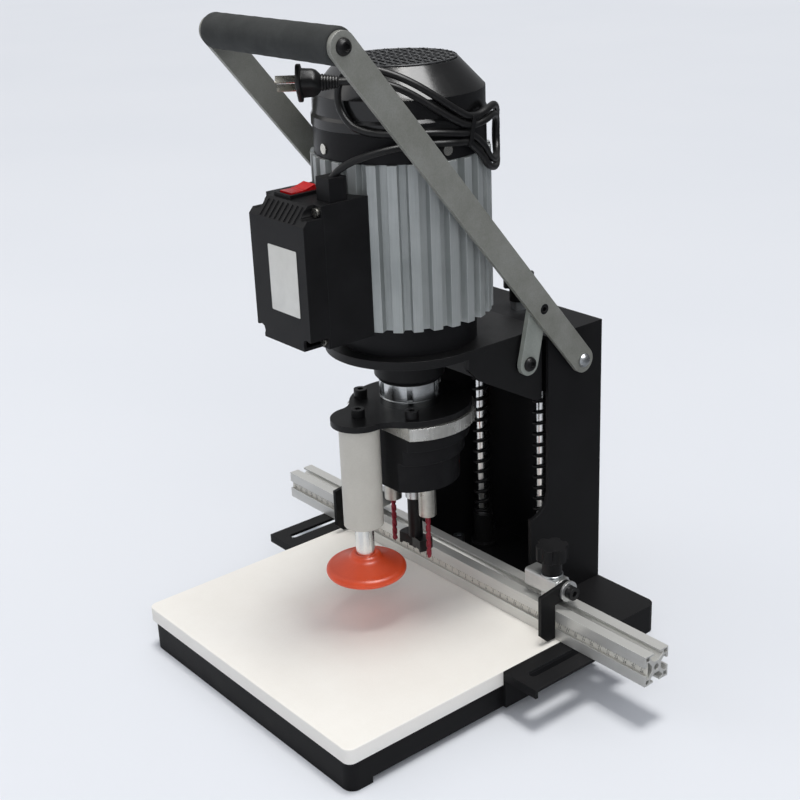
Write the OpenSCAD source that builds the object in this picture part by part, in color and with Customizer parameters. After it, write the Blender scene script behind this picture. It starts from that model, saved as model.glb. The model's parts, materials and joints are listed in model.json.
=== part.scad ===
// Hinge boring machine: a bench drill head for furniture hinges, fed by a lever,
// with a sprung hold-down foot and a fence with two flip stops.
// Lengths are in millimetres. X runs along the fence, Y from the operator to the column, Z up.

/* [Base tray] */
// Width of the base tray
tray_w = 321; // [310:1:325]
// Depth from the front edge of the worktop to the back of the tray
base_d = 387; // [375:1:410]
// Height of the base tray
tray_h = 30; // [24:1:36]
// Sheet thickness of the tray and its wings
sheet_t = 3; // [2:0.5:4]
// Outer corner radius of the tray
tray_r = 10; // [6:1:16]
// Length of a corner foot along each side
foot_len = 24; // [16:1:40]
// Height of the skirt above the bench between the feet; the front skirt reaches the bench
foot_h = 6; // [3:1:9]
// Width of a wing beside the worktop
wing_w = 41; // [36:1:50]
// Length of a wing from front to back
wing_d = 120; // [112:1:130]
// Distance from the base's rear edge to the wing front
wing_set = 211; // [207:1:215]
// Depth of the folded lip at the wing front
wing_lip = 9; // [6:1:14]
// Width of the fence slot in a wing
slot_w = 9; // [8.5:0.5:11]
// Sheet left between the slot and the wing's front or back edge
slot_land = 13; // [10:1:15]

/* [Worktop] */
// Gap between the worktop's rear edge and the column's toes
top_gap = 3; // [1:0.5:15]
// Thickness of the worktop board
top_t = 15; // [12:1:20]
// Corner radius of the worktop board
top_r = 8; // [4:1:14]
// How far the board stands past the tray at the front and the sides
top_lap = 2.5; // [1:0.5:5]

/* [Column] */
// Width of the column
col_w = 165; // [163:1:167]
// Depth of the column at its roof
col_d = 72; // [68:1:76]
// Thickness of the column plates
col_t = 4; // [3:0.5:5]
// How far the column sides reach forward at the foot
col_toe = 24; // [10:1:28]
// Height of the forward reach above the tray
toe_h = 96; // [60:1:110]
// Diameter of the column floor bolts
floor_bolt_d = 8; // [6:1:10]

/* [Guides and return springs] */
// Diameter of a guide rod
rod_d = 12; // [10:1:16]
// Distance from the column's side in to a guide rod
rod_in = 38; // [36.5:0.5:40.5]
// Distance from the column back to the rod axes
rod_back = 43; // [40:1:45]
// Thread diameter at the rod's upper end
rod_thread = 10; // [8:1:10]
// Height of a rod nut
rod_nut_h = 8; // [6:1:10]
// Distance from the column back to the height stop
height_set = 30.5; // [28:0.5:33]
// Underside of the height stop's knob above the column
height_rise = 22; // [20:1:26]
// Outer diameter of a rod socket
socket_d = 20; // [18:1:28]
// Height of a rod socket
socket_h = 38; // [30:1:50]
// Wall of a guide bush
bush_t = 4; // [3:0.5:5]
// Wire diameter of a return spring
wire_d = 2.6; // [2:0.2:3]
// Open curls of a return spring
spring_curls = 14; // [10:1:18]
// Room between the spring wire and the rod
spring_play = 1; // [0.5:0.1:1.5]
// Gap between the wires of a closed end curl
end_gap = 0.6; // [0.5:0.1:1]

/* [Carriage] */
// Front radius and half width of the carriage plate
plate_r = 77; // [76.5:0.1:77.2]
// Thickness of the carriage plate
plate_t = 8; // [6:1:10]
// Carriage plate underside above the column roof
plate_rise = 1; // [0.5:0.5:3]
// Gap between the carriage plate and the column front
plate_gap = 3.5; // [2:0.5:5]
// Thickness of a carriage cheek
cheek_t = 5; // [4:0.5:6]
// Distance from the column's side in to the outer face of a cheek
cheek_in = 5.5; // [4.5:0.5:7]
// Distance from the spindle axis back to the cheek front
cheek_set = 6; // [0:1:15]
// Height of a cheek at its front
cheek_nose = 10; // [8:1:14]
// Height of the guide block
block_h = 54; // [48:1:56]
// Distance from the column's side in to the guide block
block_in = 18.5; // [16.5:0.5:21.5]
// Depth of the guide block behind the rod axes
block_back = 18; // [15:1:20]
// Thickness of the cross web between the cheeks
web_t = 8; // [6:1:10]

/* [Motor] */
// Radius over the cooling fins
fin_r = 79.5; // [78:0.5:80]
// Depth of the grooves between the fins
fin_depth = 7.5; // [5:0.5:9]
// Number of cooling fins
fin_count = 28; // [20:1:32]
// Width of a fin's crest
fin_crest = 8; // [6:0.5:9]
// Wall of the motor shell under the grooves
shell_t = 6; // [5:0.5:8]
// Length of the finned shell
shell_h = 146; // [140:1:150]
// Radius of the lower end bell
bell_r = 64; // [62:1:68]
// Height of the lower end bell
bell_h = 28; // [26:1:32]
// Radius of the upper end bell
cap_r = 76; // [75.5:0.5:76.5]
// Height of the upper end bell
cap_h = 25; // [22:1:28]
// Wall of the end bells
bell_t = 6; // [5:0.5:7]
// Radius of the fan cover
cover_r = 75.5; // [75:0.5:76]
// Height of the fan cover
cover_h = 51; // [48:1:54]
// Height at which the cover's shoulder starts
shoulder_h = 27; // [24:1:30]
// Radius of the grille on top of the cover
grille_r = 53; // [48:1:56]
// Wall of the fan cover
cover_t = 2; // [1.5:0.5:3]
// How far the cover's lower rim flares out
rim_out = 1.5; // [1:0.5:1.5]
// Height of the flared rim
rim_h = 8; // [6:1:10]
// Diameter of a grille hole
grille_hole = 5; // [4:0.5:6]
// Spacing of the grille holes
grille_step = 8; // [7.5:0.5:10]
// Diameter of the motor shaft
shaft_d = 17; // [16:0.5:18]
// Outer diameter of a motor bearing
bearing_d = 40; // [38:1:44]
// Height of a motor bearing
bearing_h = 12; // [10:1:14]
// Radius of the rotor core
rotor_r = 39.5; // [36:0.5:42]
// Height of the rotor and stator cores
core_h = 100; // [90:1:110]
// Air gap between rotor and stator
air_gap = 0.5; // [0.4:0.1:1]
// Number of cooling fan blades
fan_blades = 8; // [6:1:12]
// Radius of the cooling fan
fan_r = 66; // [60:1:68]

/* [Drill head] */
// Distance from the base's rear edge forward to the spindle axis
spindle_set = 173; // [171:1:177]
// Height of the cup cutter above the worktop at rest
daylight = 52; // [48:1:56]
// Diameter of the cup cutter
cup_d = 35; // [26:1:36]
// Height of the cup cutter
cup_h = 12; // [10:1:16]
// Diameter of the cup bit's body above the cutter
cup_body_d = 14; // [12:0.5:15]
// Distance between the side drills
drill_span = 52; // [48:1:56]
// Distance of the side drills in front of the cup axis
drill_set = 5.5; // [4:0.5:8]
// Diameter of a side drill
drill_d = 5; // [4:0.5:6]
// How far the drill points stand below the cup cutter
drill_low = 3; // [1:1:4]
// Diameter of the spindle noses
nose_d = 17; // [16:0.5:18]
// Length of a side spindle's nose
nose_h = 33; // [28:1:38]
// Length of the cup spindle's nose
cup_nose_h = 25; // [20:1:30]
// Distance from the cup cutter's edge up to the head housing
head_rise = 78; // [72:1:84]
// Height of the head housing
house_h = 59; // [56:1:64]
// Radius of the top tier of the head housing
house_r = 55; // [54:1:58]
// Radius lost at each lower tier of the housing
tier_step = 5; // [3:1:6]
// Distance from the spindle axis to the housing's flat front
house_flat = 38; // [36:1:39]
// Diameter of a side spindle's journals
journal_d = 12; // [10:1:13]
// Face width of the gears
gear_h = 14; // [10:1:18]
// Teeth of each of the three gears
gear_teeth = 18; // [14:2:22]
// Radius of the silver flange
flange_r = 61; // [59:1:64]
// Thickness of the silver flange
flange_t = 12; // [10:1:14]
// Distance from the spindle axis to the flange's flat front
flange_flat = 40; // [39:1:41]
// Radius of the bracket round the spindle
bracket_r = 58; // [56:1:59]
// Thickness of the bracket plate
bracket_t = 6; // [5:1:8]
// Radius of the slotted clamp collar
collar_r = 29; // [27:1:31]
// Height of the clamp collar
collar_h = 23; // [20:1:26]
// Radius of the neck below the carriage plate
neck_r = 33; // [32:1:36]
// Height of the neck
neck_h = 34; // [30:1:38]
// Outer radius of the neck's spigot
spigot_r = 20; // [18:0.5:21]

/* [Hold-down] */
// Distance of the hold-down in front of the spindle axis
clamp_set = 62.5; // [62:0.5:66]
// Outer diameter of the hold-down cylinder
cyl_d = 38; // [34:1:39]
// Length of the hold-down cylinder
cyl_h = 103; // [98:1:106]
// Wall of the hold-down cylinder
cyl_t = 4; // [3:0.5:5]
// Thickness of the cylinder's two ends
cyl_end = 8; // [6:1:12]
// Diameter of the plunger rod
plunger_d = 18; // [16:1:20]
// Thickness of the plunger's head
plunger_head = 8; // [6:1:10]
// Diameter of the foot
foot_d = 77; // [70:1:78]
// Height of the foot
pad_h = 22; // [18:1:24]
// Height of the foot above the worktop at rest
foot_gap = 45.5; // [45:0.5:48]

/* [Switch box] */
// Width of the switch box
box_w = 79; // [76:1:84]
// Height of the switch box
box_h = 124; // [118:1:128]
// Depth of the box body in front of the motor's centre line
box_set = 116; // [114:1:118]
// Depth of the front cover
lid_d = 21; // [18:1:24]
// Wall of the switch box
box_t = 3; // [2.5:0.5:4]
// Depth of the chamfer along the cover's top edge
lid_chamfer = 13; // [8:1:15]
// Ribs on the chamfer
lid_ribs = 8; // [5:1:9]
// Side of the square notch at each corner of the cover
lid_notch = 10; // [8:1:12]
// Depth of the box floor below the shell's lower end
box_low = 3; // [0:1:5]
// Place of the rocker to the left of the middle
rocker_off = 11; // [9:1:13]
// Distance of the rocker in front of the spindle axis
rocker_set = 104; // [103:0.5:105]
// Length of the rocker
rocker_l = 27; // [24:1:30]
// Width of the rocker
rocker_w = 17; // [14:1:20]
// Tilt of the rocker to either side
rocker_tilt = 8; // [5:1:10]
// Distance from the box's right side in to the middle of the cable entry
entry_in = 11.5; // [10.5:0.5:12.5]
// Distance of the cable entry in front of the spindle axis
entry_set = 98; // [96:1:100]
// Side of the square cable entry
entry_w = 18; // [16:1:20]
// Height of the cable entry
entry_h = 20; // [18:1:24]
// Lean of the cord from upright where it leaves its entry
entry_lean = 45; // [42:1:48]
// Heading of the cord there, from the X axis
entry_yaw = 49; // [46:1:52]

/* [Lever] */
// Distance from the lever pivot to the grip axis
lever_len = 415; // [400:1:425]
// Angle of the lever above the horizontal at rest
lever_rest = 50.5; // [49:0.5:52]
// Width of a lever arm
arm_w = 24.5; // [22:0.5:28]
// Thickness of a lever arm
arm_t = 4.5; // [4:0.5:6]
// Gap between the column and a lever arm
arm_gap = 5; // [4:0.5:6]
// Pivot below the column roof
pivot_drop = 30; // [26:1:32]
// Pivot in front of the column back
pivot_back = 35; // [30:1:37]
// Diameter of the lever pivot bolts
pivot_d = 9; // [8:0.5:12]
// Distance from the lever pivot to the link pin
link_reach = 81.5; // [80:0.5:83]
// Length of a link between its pins
link_len = 53.3; // [52:0.1:55]
// Width of a link
link_w = 22; // [20:1:24]
// Thickness of a link
link_t = 5; // [4:0.5:5]
// Diameter of the link pins
pin_d = 10; // [9:0.5:11]
// Distance of the lower link pin in front of the column back
pin_set = 99; // [97:0.5:101]
// Diameter of the grip
grip_d = 30; // [27:1:34]
// Diameter of the tube inside the grip
tube_d = 22; // [19:1:24]

/* [Fence and stops] */
// Length of the fence
fence_l = 532; // [500:1:560]
// Side of the fence profile
fence_s = 30; // [30:1:32]
// Distance of the fence face behind the spindle axis
fence_set = 34.5; // [33:0.5:36]
// Mouth of the fence grooves
groove_w = 8.2; // [8:0.1:9]
// Inner width of the fence grooves
groove_in = 16; // [15:0.5:17]
// Lip beside a groove's mouth
groove_lip = 2.2; // [2:0.1:3]
// Depth of the fence grooves
groove_d = 9; // [8:0.5:9.5]
// Side of the hollow in each corner of the profile
corner_hole = 4; // [3:0.5:4.5]
// Bore along the middle of the profile
core_hole = 6; // [5:0.5:7]
// Thickness of the scale tape
tape_t = 0.8; // [0.6:0.1:1]
// Diameter of the bolts in the fence grooves
tee_d = 8; // [6:0.5:8]
// Distance of a stop from the middle of the fence
stop_x = 138; // [132:1:150]
// Length of a stop's bar
stop_w = 40; // [36:1:44]
// Length of the bar from the knob to the flip plate
stop_side = 13; // [12:1:16]
// Height of the bar
stop_h = 18; // [16:1:20]
// Height of the bar above the fence
stop_lift = 6.5; // [5:0.5:8]
// Thickness of a flip plate
flip_t = 4; // [3:0.5:5]
// Reach of a flip plate in front of the fence
flip_reach = 18; // [16:1:22]
// Clearance of a flip plate above the worktop
flip_clear = 2; // [1:0.5:4]
// Diameter of a stop's hinge bolt
hinge_d = 8; // [6:0.5:9]
// Diameter over the lobes of a stop knob
knob_d = 30; // [26:1:34]
// Height of a stop knob's head
knob_h = 14; // [12:1:18]
// Height of a knob's hub under the head
hub_h = 15; // [12:1:18]

/* [Cord] */
// Diameter of the cord
cord_d = 6.2; // [6:0.1:6.3]
// Spacing of the hank's strands at the tie
strand_step = 6.9; // [6.8:0.1:7.2]

/* [Clearances] */
// Radial clearance of a shaft in its bore
run_gap = 0.05; // [0.03:0.01:0.08]
// Clearance between faces that move past each other
slide_gap = 0.3; // [0.2:0.05:0.5]
// Gap left between pieces that are set side by side
seam = 0.5; // [0.3:0.1:0.8]

/* [Hidden] */
$fn = 64;

// Plan: the origin is in the middle of the footprint
front = -base_d / 2;
back = base_d / 2;
tray_d = base_d - top_lap;
top_d = base_d - col_d - col_toe - top_gap;
tray_y = back - tray_d / 2;
top_y = front + top_d / 2;
col_front = back - col_d;
toe_front = col_front - col_toe;
rod_y = back - rod_back;
height_y = back - height_set;
rod_x = col_w / 2 - rod_in;
block_w = col_w - 2 * block_in;
spindle_y = back - spindle_set;
clamp_y = spindle_y - clamp_set;
fence_y = spindle_y + fence_set;
fence_mid = fence_y + fence_s / 2;
top_w = tray_w + 2 * top_lap;
wing_x = top_w / 2 + seam;
wing_y = back - wing_set;
slot_x = wing_x + wing_w / 2;

// Heights, from the bench up
top_z = tray_h + top_t;
cut_z = top_z + daylight;
house_z = cut_z + head_rise;
flange_z = house_z + house_h;
bracket_z = flange_z + flange_t;
collar_z = bracket_z + bracket_t;
neck_z = collar_z + collar_h;
plate_z = neck_z + neck_h;
bell_z = plate_z + plate_t;
shell_z = bell_z + bell_h;
cap_z = shell_z + shell_h;
cover_z = cap_z + cap_h;
col_top = plate_z - plate_rise;
floor_z = tray_h + col_t;
socket_top = floor_z + socket_h;
block_top = col_top - 2 * col_t;
block_z = block_top - block_h;
fence_z = top_z + slide_gap;
fence_top = fence_z + fence_s;
foot_z = top_z + foot_gap;
cyl_z = bracket_z - cyl_h;

// Lever geometry in the Y, Z plane
pivot_y = back - pivot_back;
pivot_z = col_top - pivot_drop;
grip_y = pivot_y - lever_len * cos(lever_rest);
grip_z = pivot_z + lever_len * sin(lever_rest);
link_y = pivot_y - link_reach * cos(lever_rest);
link_z = pivot_z + link_reach * sin(lever_rest);
pin_y = back - pin_set;
pin_z = link_z - sqrt(link_len * link_len - (link_y - pin_y) * (link_y - pin_y));
link_tilt = atan2(pin_y - link_y, link_z - pin_z);
arm_x = col_w / 2 + arm_gap;
cheek_x = col_w / 2 - cheek_in;
link_x = (cheek_x + arm_x - link_t) / 2;
// The linkage is opened at the lower link pin, so its hole in the cheek is a short slot
pin_drift = 4.4;
pin_rise = 0.8;

// Motor and head
shell_in = fin_r - fin_depth - shell_t;
stator_in = rotor_r + air_gap;
core_z = shell_z + (shell_h - core_h) / 2;
bearing_low = bell_z + bell_t;
bearing_high = cover_z - bell_t - bearing_h;
gear_z = house_z + house_h / 2 - gear_h / 2;
drill_x = drill_span / 2;
drill_y = spindle_y - drill_set;
gear_reach = sqrt(drill_x * drill_x + drill_set * drill_set);
gear_lean = atan2(drill_set, drill_x);
gear_m = gear_reach / gear_teeth;
gear_room = gear_m * (gear_teeth / 2 + 1) + 1;
shank_r = nose_d / 2 - 3;

// Switch box
box_y = spindle_y - box_set;
box_front = box_y - lid_d;
box_z = shell_z - box_low;
box_top = box_z + box_h;
rocker_x = -rocker_off;
rocker_y = spindle_y - rocker_set;
entry_x = box_w / 2 - entry_in;
entry_y = spindle_y - entry_set;
entry_bore = entry_h * 4 / 13;
entry_way = [sin(entry_lean) * cos(entry_yaw), sin(entry_lean) * sin(entry_yaw), cos(entry_lean)];
entry_mouth = [entry_x + entry_w * 0.1, entry_y + entry_w * 0.1, box_top + entry_h];

// Stops
bar_z = fence_top + slide_gap + stop_lift;
bar_top = bar_z + stop_h;
hinge_z = bar_z + stop_h / 2;
hinge_ring = hinge_d * 1.25;
ring_t = hinge_d * 0.3;
stop_end = stop_x + stop_side;
flip_x = stop_end + ring_t + slide_gap;
ring_x = flip_x + flip_t + slide_gap;
flip_low = top_z + flip_clear;
knob_z = bar_top + 2.2 + hub_h;

// Draws a Y, Z profile, t thick along X from x
module slab(x, t) {
  translate([x, 0, 0])
    rotate([90, 0, 90])
      linear_extrude(t)
        children();
}

// Repeats a piece on the other side of the middle plane
module pair() {
  children();
  mirror([1, 0, 0])
    children();
}

// A round bar along X between two places
module xbar(r, x0, x1) {
  translate([x0, 0, 0])
    rotate([0, 90, 0])
      cylinder(r = r, h = x1 - x0);
}

// A ring or sleeve standing on the current origin
module sleeve(r_out, r_in, h) {
  difference() {
    cylinder(r = r_out, h = h);
    translate([0, 0, -1])
      cylinder(r = r_in, h = h + 2);
  }
}

// A rectangle with round corners, about the origin
module round_rect(w, d, r) {
  square([w - 2 * r, d], center = true);
  square([w, d - 2 * r], center = true);
  for (x = [-1, 1], y = [-1, 1])
    translate([x * (w / 2 - r), y * (d / 2 - r)])
      circle(r);
}

// A flat bar with round ends, from the origin along its own x
module bar(len, w) {
  translate([0, -w / 2])
    square([len, w]);
  circle(w / 2);
  translate([len, 0])
    circle(w / 2);
}

// A disc with a flat cut off at the front
module dee(r, flat) {
  intersection() {
    circle(r);
    translate([-r, -flat])
      square([2 * r, r + flat]);
  }
}

module at_spindle(z) {
  translate([0, spindle_y, z])
    children();
}

// A hexagon socket screw standing head up, its head on the current origin
module cap_screw(d, len) {
  difference() {
    cylinder(r = d * 0.8, h = d);
    translate([0, 0, d * 0.5])
      cylinder(r = d * 0.4, h = d, $fn = 6);
  }
  translate([0, 0, -len])
    cylinder(r = d / 2, h = len);
}

// Four places in the column floor
module floor_bolt_places() {
  for (x = [-1, 1], y = [col_front + 12, back - 14])
    translate([x * (rod_x + 21), y, 0])
      children();
}

module wing() {
  wall_z = foot_h + 2;
  translate([wing_x, wing_y, wall_z])
    cube([sheet_t, wing_d, top_z - wall_z]);
  translate([tray_w / 2, wing_y, wall_z])
    cube([wing_x - tray_w / 2 + sheet_t / 2, wing_d, tray_h - seam - wall_z]);
  difference() {
    translate([wing_x, wing_y, top_z - sheet_t])
      cube([wing_w, wing_d, sheet_t]);
    translate([slot_x, wing_y + slot_land + slot_w / 2, top_z - sheet_t - 1])
      linear_extrude(sheet_t + 2)
        rotate(90)
          bar(wing_d - 2 * slot_land - slot_w, slot_w);
  }
  translate([wing_x, wing_y, top_z - wing_lip])
    cube([wing_w, sheet_t, wing_lip]);
}

module base_tray() {
  color("#232325") {
    difference() {
      translate([0, tray_y, 0])
        linear_extrude(tray_h)
          round_rect(tray_w, tray_d, tray_r);
      translate([0, tray_y, -1])
        linear_extrude(tray_h - sheet_t + 1)
          round_rect(tray_w - 2 * sheet_t, tray_d - 2 * sheet_t, tray_r - sheet_t);
      translate([foot_len - tray_w / 2, tray_y, -1])
        cube([tray_w - 2 * foot_len, tray_d, foot_h + 1]);
      translate([-tray_w, tray_y - tray_d / 2 + foot_len, -1])
        cube([2 * tray_w, tray_d - 2 * foot_len, foot_h + 1]);
      floor_bolt_places()
        cylinder(r = floor_bolt_d / 2 + run_gap, h = tray_h + 1);
    }
  }
}

module fence_wings() {
  color("#232325")
    pair()
      wing();
}

module worktop() {
  color("#ece9e2")
    translate([0, top_y, tray_h])
      linear_extrude(top_t)
        round_rect(top_w, top_d, top_r);
}

module column_side() {
  toe_top = tray_h + toe_h;
  translate([col_front, tray_h])
    square([col_d, col_top - tray_h]);
  translate([toe_front, tray_h])
    square([col_toe + 1, toe_h]);
  difference() {
    translate([toe_front, toe_top - 1])
      square([col_toe + 1, col_toe + 1]);
    translate([toe_front, toe_top + col_toe])
      circle(col_toe);
  }
}

module column_shell() {
  color("#1e1e20")
    difference() {
      union() {
        pair()
          slab(col_w / 2 - col_t, col_t)
            column_side();
        translate([-col_w / 2, back - col_t, tray_h])
          cube([col_w, col_t, col_top - tray_h]);
        translate([-col_w / 2, col_front, col_top - col_t])
          cube([col_w, col_d, col_t]);
        translate([-col_w / 2, col_front, tray_h])
          cube([col_w, col_d, col_t]);
      }
      translate([0, pivot_y, pivot_z])
        xbar(pivot_d / 2 + run_gap, -col_w, col_w);
      floor_bolt_places()
        cylinder(r = floor_bolt_d / 2 + run_gap, h = floor_z + 1);
      pair()
        translate([rod_x, rod_y, col_top - col_t - 1])
          cylinder(r = rod_thread / 2 + run_gap, h = col_t + 2);
      translate([0, height_y, col_top - col_t - 1])
        cylinder(r = rod_thread / 2 + run_gap, h = col_t + 2);
    }
}

module pivot_bolt() {
  head_x = arm_x + arm_t + slide_gap;
  head_r = pivot_d * 0.75;
  nut_x = col_w / 2 - col_t;
  translate([0, pivot_y, pivot_z]) {
    xbar(pivot_d / 2, nut_x - 7, head_x);
    xbar(head_r, nut_x - 7, nut_x);
    xbar(head_r, col_w / 2, arm_x - slide_gap);
    translate([head_x, 0, 0])
      rotate([0, 90, 0])
        rotate_extrude()
          intersection() {
            translate([0, 5 - head_r * 1.2])
              circle(head_r * 1.2);
            square([head_r, 5]);
          }
  }
}

module column_bolts() {
  color("#b9bcbe") {
    pair()
      pivot_bolt();
    floor_bolt_places() {
      translate([0, 0, floor_z])
        cap_screw(floor_bolt_d, floor_z - foot_h - 10);
      translate([0, 0, tray_h - sheet_t - 6])
        difference() {
          cylinder(r = floor_bolt_d * 0.9, h = 6, $fn = 6);
          translate([0, 0, -1])
            cylinder(r = floor_bolt_d / 2 + run_gap, h = 8);
        }
    }
    for (p = [[rod_x, rod_y], [-rod_x, rod_y], [0, height_y]])
      translate([p[0], p[1], col_top])
        difference() {
          cylinder(r = rod_thread * 0.85, h = rod_nut_h, $fn = 6);
          translate([0, 0, -1])
            cylinder(r = rod_thread / 2 + run_gap, h = rod_nut_h + 2);
        }
  }
}

// Stop screw in the top of the column: its end sets how high the carriage rests, and a nut locks it
module height_stop() {
  head_z = col_top + height_rise;
  hub_z = col_top + rod_nut_h + slide_gap;
  low = block_z + block_h + slide_gap;
  color("#1a1a1c")
    translate([0, height_y, 0]) {
      translate([0, 0, head_z])
        linear_extrude(knob_h)
          knob_star();
      translate([0, 0, hub_z])
        cylinder(r = knob_d * 0.31, h = head_z - hub_z + 1);
      translate([0, 0, low])
        cylinder(r = rod_thread / 2, h = head_z - low);
    }
}

module guide_rods() {
  color("#d9dcde")
    pair()
      translate([rod_x, rod_y, 0]) {
        translate([0, 0, floor_z])
          cylinder(r = rod_d / 2, h = col_top - col_t - floor_z);
        translate([0, 0, col_top - col_t])
          cylinder(r = rod_thread / 2, h = col_t + rod_nut_h + 2);
      }
}

module rod_sockets() {
  color("#2a2a2c")
    pair()
      translate([rod_x, rod_y, floor_z])
        difference() {
          union() {
            cylinder(r = socket_d / 2 + 4, h = 5);
            cylinder(r = socket_d / 2, h = socket_h);
          }
          translate([0, 0, -1])
            cylinder(r = rod_d / 2 + run_gap, h = socket_h + 2);
        }
}

// Return springs: one unbroken wire each, with a closed curl at either end
coil_rings = 8;
coil_sides = 6;
coil_r = rod_d / 2 + spring_play + wire_d / 2;
coil_z = socket_top + 0.2 + wire_d / 2;
coil_len = block_z - socket_top - 0.4 - wire_d;
coil_close = wire_d + end_gap;
coil_pitch = (coil_len - 2 * coil_close) / spring_curls;
coil_turns = spring_curls + 2;
function coil_rise(t) =
  t < 1 ? coil_close * t
  : t > coil_turns - 1 ? coil_len - coil_close * (coil_turns - t)
  : coil_close + coil_pitch * (t - 1);
function coil_ring(t) =
  [for (k = [0 : coil_sides - 1])
    let (a = 360 * k / coil_sides, r = coil_r + wire_d / 2 * cos(a))
      [r * cos(360 * t), r * sin(360 * t), coil_rise(t) + wire_d / 2 * sin(a)]];

// Side faces of a tube whose points are rings of n, and its two end fans
function tube_faces(rings, n) = concat(
  [for (i = [0 : rings - 2], k = [0 : n - 1])
    let (a = i * n + k, b = i * n + (k + 1) % n) [a, a + n, b]],
  [for (i = [0 : rings - 2], k = [0 : n - 1])
    let (a = i * n + k, b = i * n + (k + 1) % n) [b, a + n, b + n]],
  [for (k = [1 : n - 2]) [0, k, k + 1]],
  [for (k = [1 : n - 2]) let (e = (rings - 1) * n) [e, e + k + 1, e + k]]);

module return_springs() {
  count = coil_rings * coil_turns + 1;
  points = [for (i = [0 : count - 1]) each coil_ring(i / coil_rings)];
  color("#3a3b3d")
    for (x = [-rod_x, rod_x])
      translate([x, rod_y, coil_z])
        polyhedron(points, tube_faces(count, coil_sides), convexity = 10);
}

// Cross-section of the fence, about its own middle
module fence_profile() {
  h = fence_s / 2;
  difference() {
    square(fence_s, center = true);
    circle(core_hole / 2);
    for (a = [0 : 90 : 270])
      rotate(a) {
        translate([h - groove_lip - 1, -groove_w / 2])
          square([groove_lip + 2, groove_w]);
        polygon([
          [h - groove_lip, -groove_in / 2], [h - groove_lip, groove_in / 2],
          [h - groove_lip - 2.5, groove_in / 2], [h - groove_d, groove_w / 2 - 1],
          [h - groove_d, 1 - groove_w / 2], [h - groove_lip - 2.5, -groove_in / 2]]);
        rotate(45)
          translate([(h - 1.5 - corner_hole / 2) * sqrt(2), 0])
            rotate(45)
              square(corner_hole, center = true);
      }
  }
}

module fence_rail() {
  color("#c4c8ca")
    translate([0, fence_mid, fence_z + fence_s / 2])
      slab(-fence_l / 2, fence_l)
        fence_profile();
}

module fence_scale() {
  color("#e4e2d8")
    translate([-fence_l / 2, fence_y + groove_lip + seam, fence_z + fence_s / 2 - groove_in / 2 + seam])
      cube([fence_l, tape_t, groove_in - 2 * seam]);
}

// Bolts that hang in the fence's lower groove and pass through the wing slots
module fence_bolts() {
  nut_top = top_z - sheet_t - slide_gap;
  tail = 1.5 * tee_d;
  washer_t = tee_d / 4;
  nut_h = 0.9 * tee_d;
  color("#8d9092")
    for (x = [-slot_x, slot_x])
      translate([x, fence_mid, 0]) {
        translate([0, 0, fence_z + groove_lip + 0.2])
          translate([-groove_in / 2 + 1, 1 - groove_in / 2, 0])
            cube([groove_in - 2, groove_in - 2, 2]);
        translate([0, 0, nut_top - tail])
          cylinder(r = tee_d / 2, h = fence_z + groove_lip + 0.4 - nut_top + tail);
        translate([0, 0, nut_top - washer_t])
          cylinder(r = tee_d, h = washer_t);
        translate([0, 0, nut_top - washer_t - nut_h])
          cylinder(r = tee_d * 0.85, h = nut_h + washer_t / 2, $fn = 6);
      }
}

// Stop on the right: a bar that stands on a foot, bored for the knob's stud and the hinge bolt,
// and the loose washer outside the flip plate
module stop_block() {
  foot_w = stop_h * 0.8;
  color("#c4c6c6") {
    difference() {
      union() {
        slab(stop_end - stop_w, stop_w)
          translate([fence_mid, hinge_z])
            round_rect(stop_h, stop_h, stop_h / 6);
        translate([stop_x - foot_w / 2, fence_mid - foot_w / 2, fence_top + slide_gap])
          cube([foot_w, foot_w, stop_lift + 1]);
        at_hinge()
          xbar(hinge_ring, stop_end - 1, stop_end + ring_t);
      }
      translate([stop_x, fence_mid, fence_top])
        cylinder(r = tee_d / 2 + run_gap, h = bar_top - fence_top + 1);
      at_hinge()
        xbar(hinge_d / 2 + run_gap, stop_end - pin_in(), stop_end + ring_t + 1);
    }
    at_hinge()
      difference() {
        xbar(hinge_ring, ring_x, ring_x + ring_t);
        xbar(hinge_d / 2 + run_gap, ring_x - 1, ring_x + ring_t + 1);
      }
  }
}

// Depth of the hinge bolt in the bar, which ends short of the knob's stud
function pin_in() = stop_side - tee_d / 2 - 2;

module at_hinge() {
  translate([0, fence_mid, hinge_z])
    children();
}

module stop_pin() {
  head_x = ring_x + ring_t;
  color("#1b1b1c")
    at_hinge() {
      xbar(hinge_d / 2, stop_end - pin_in() + 0.5, head_x + 1);
      translate([head_x, 0, 0])
        rotate([0, 90, 0])
          difference() {
            cylinder(r = hinge_d * 0.8, h = hinge_d * 0.85);
            translate([0, 0, hinge_d * 0.4])
              cylinder(r = hinge_d * 0.4, h = hinge_d, $fn = 6);
          }
    }
}

// Plate that hangs over the front of the fence and swings up on the hinge bolt
module flip_plate() {
  face = fence_y - slide_gap - 0.4;
  nose = face - flip_reach;
  cut = flip_reach * 0.45;
  hub = hinge_d * 1.15;
  color("#19191a")
    slab(flip_x, flip_t)
      difference() {
        union() {
          translate([fence_mid, hinge_z])
            circle(hub);
          polygon([
            [fence_mid, hinge_z + hub], [nose, hinge_z + hub / 2], [nose, flip_low + cut],
            [nose + cut, flip_low], [face, flip_low], [face, hinge_z - hub], [fence_mid, hinge_z - hub]]);
        }
        translate([fence_mid, hinge_z])
          circle(hinge_d / 2 + run_gap);
      }
}

// Outline of a knob's lobed head
module knob_star() {
  lobes = 6;
  difference() {
    circle(knob_d / 2);
    for (i = [0 : lobes - 1])
      rotate((i + 0.5) * 360 / lobes)
        translate([knob_d * 0.56, 0])
          circle(knob_d * 0.15);
  }
}

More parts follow.
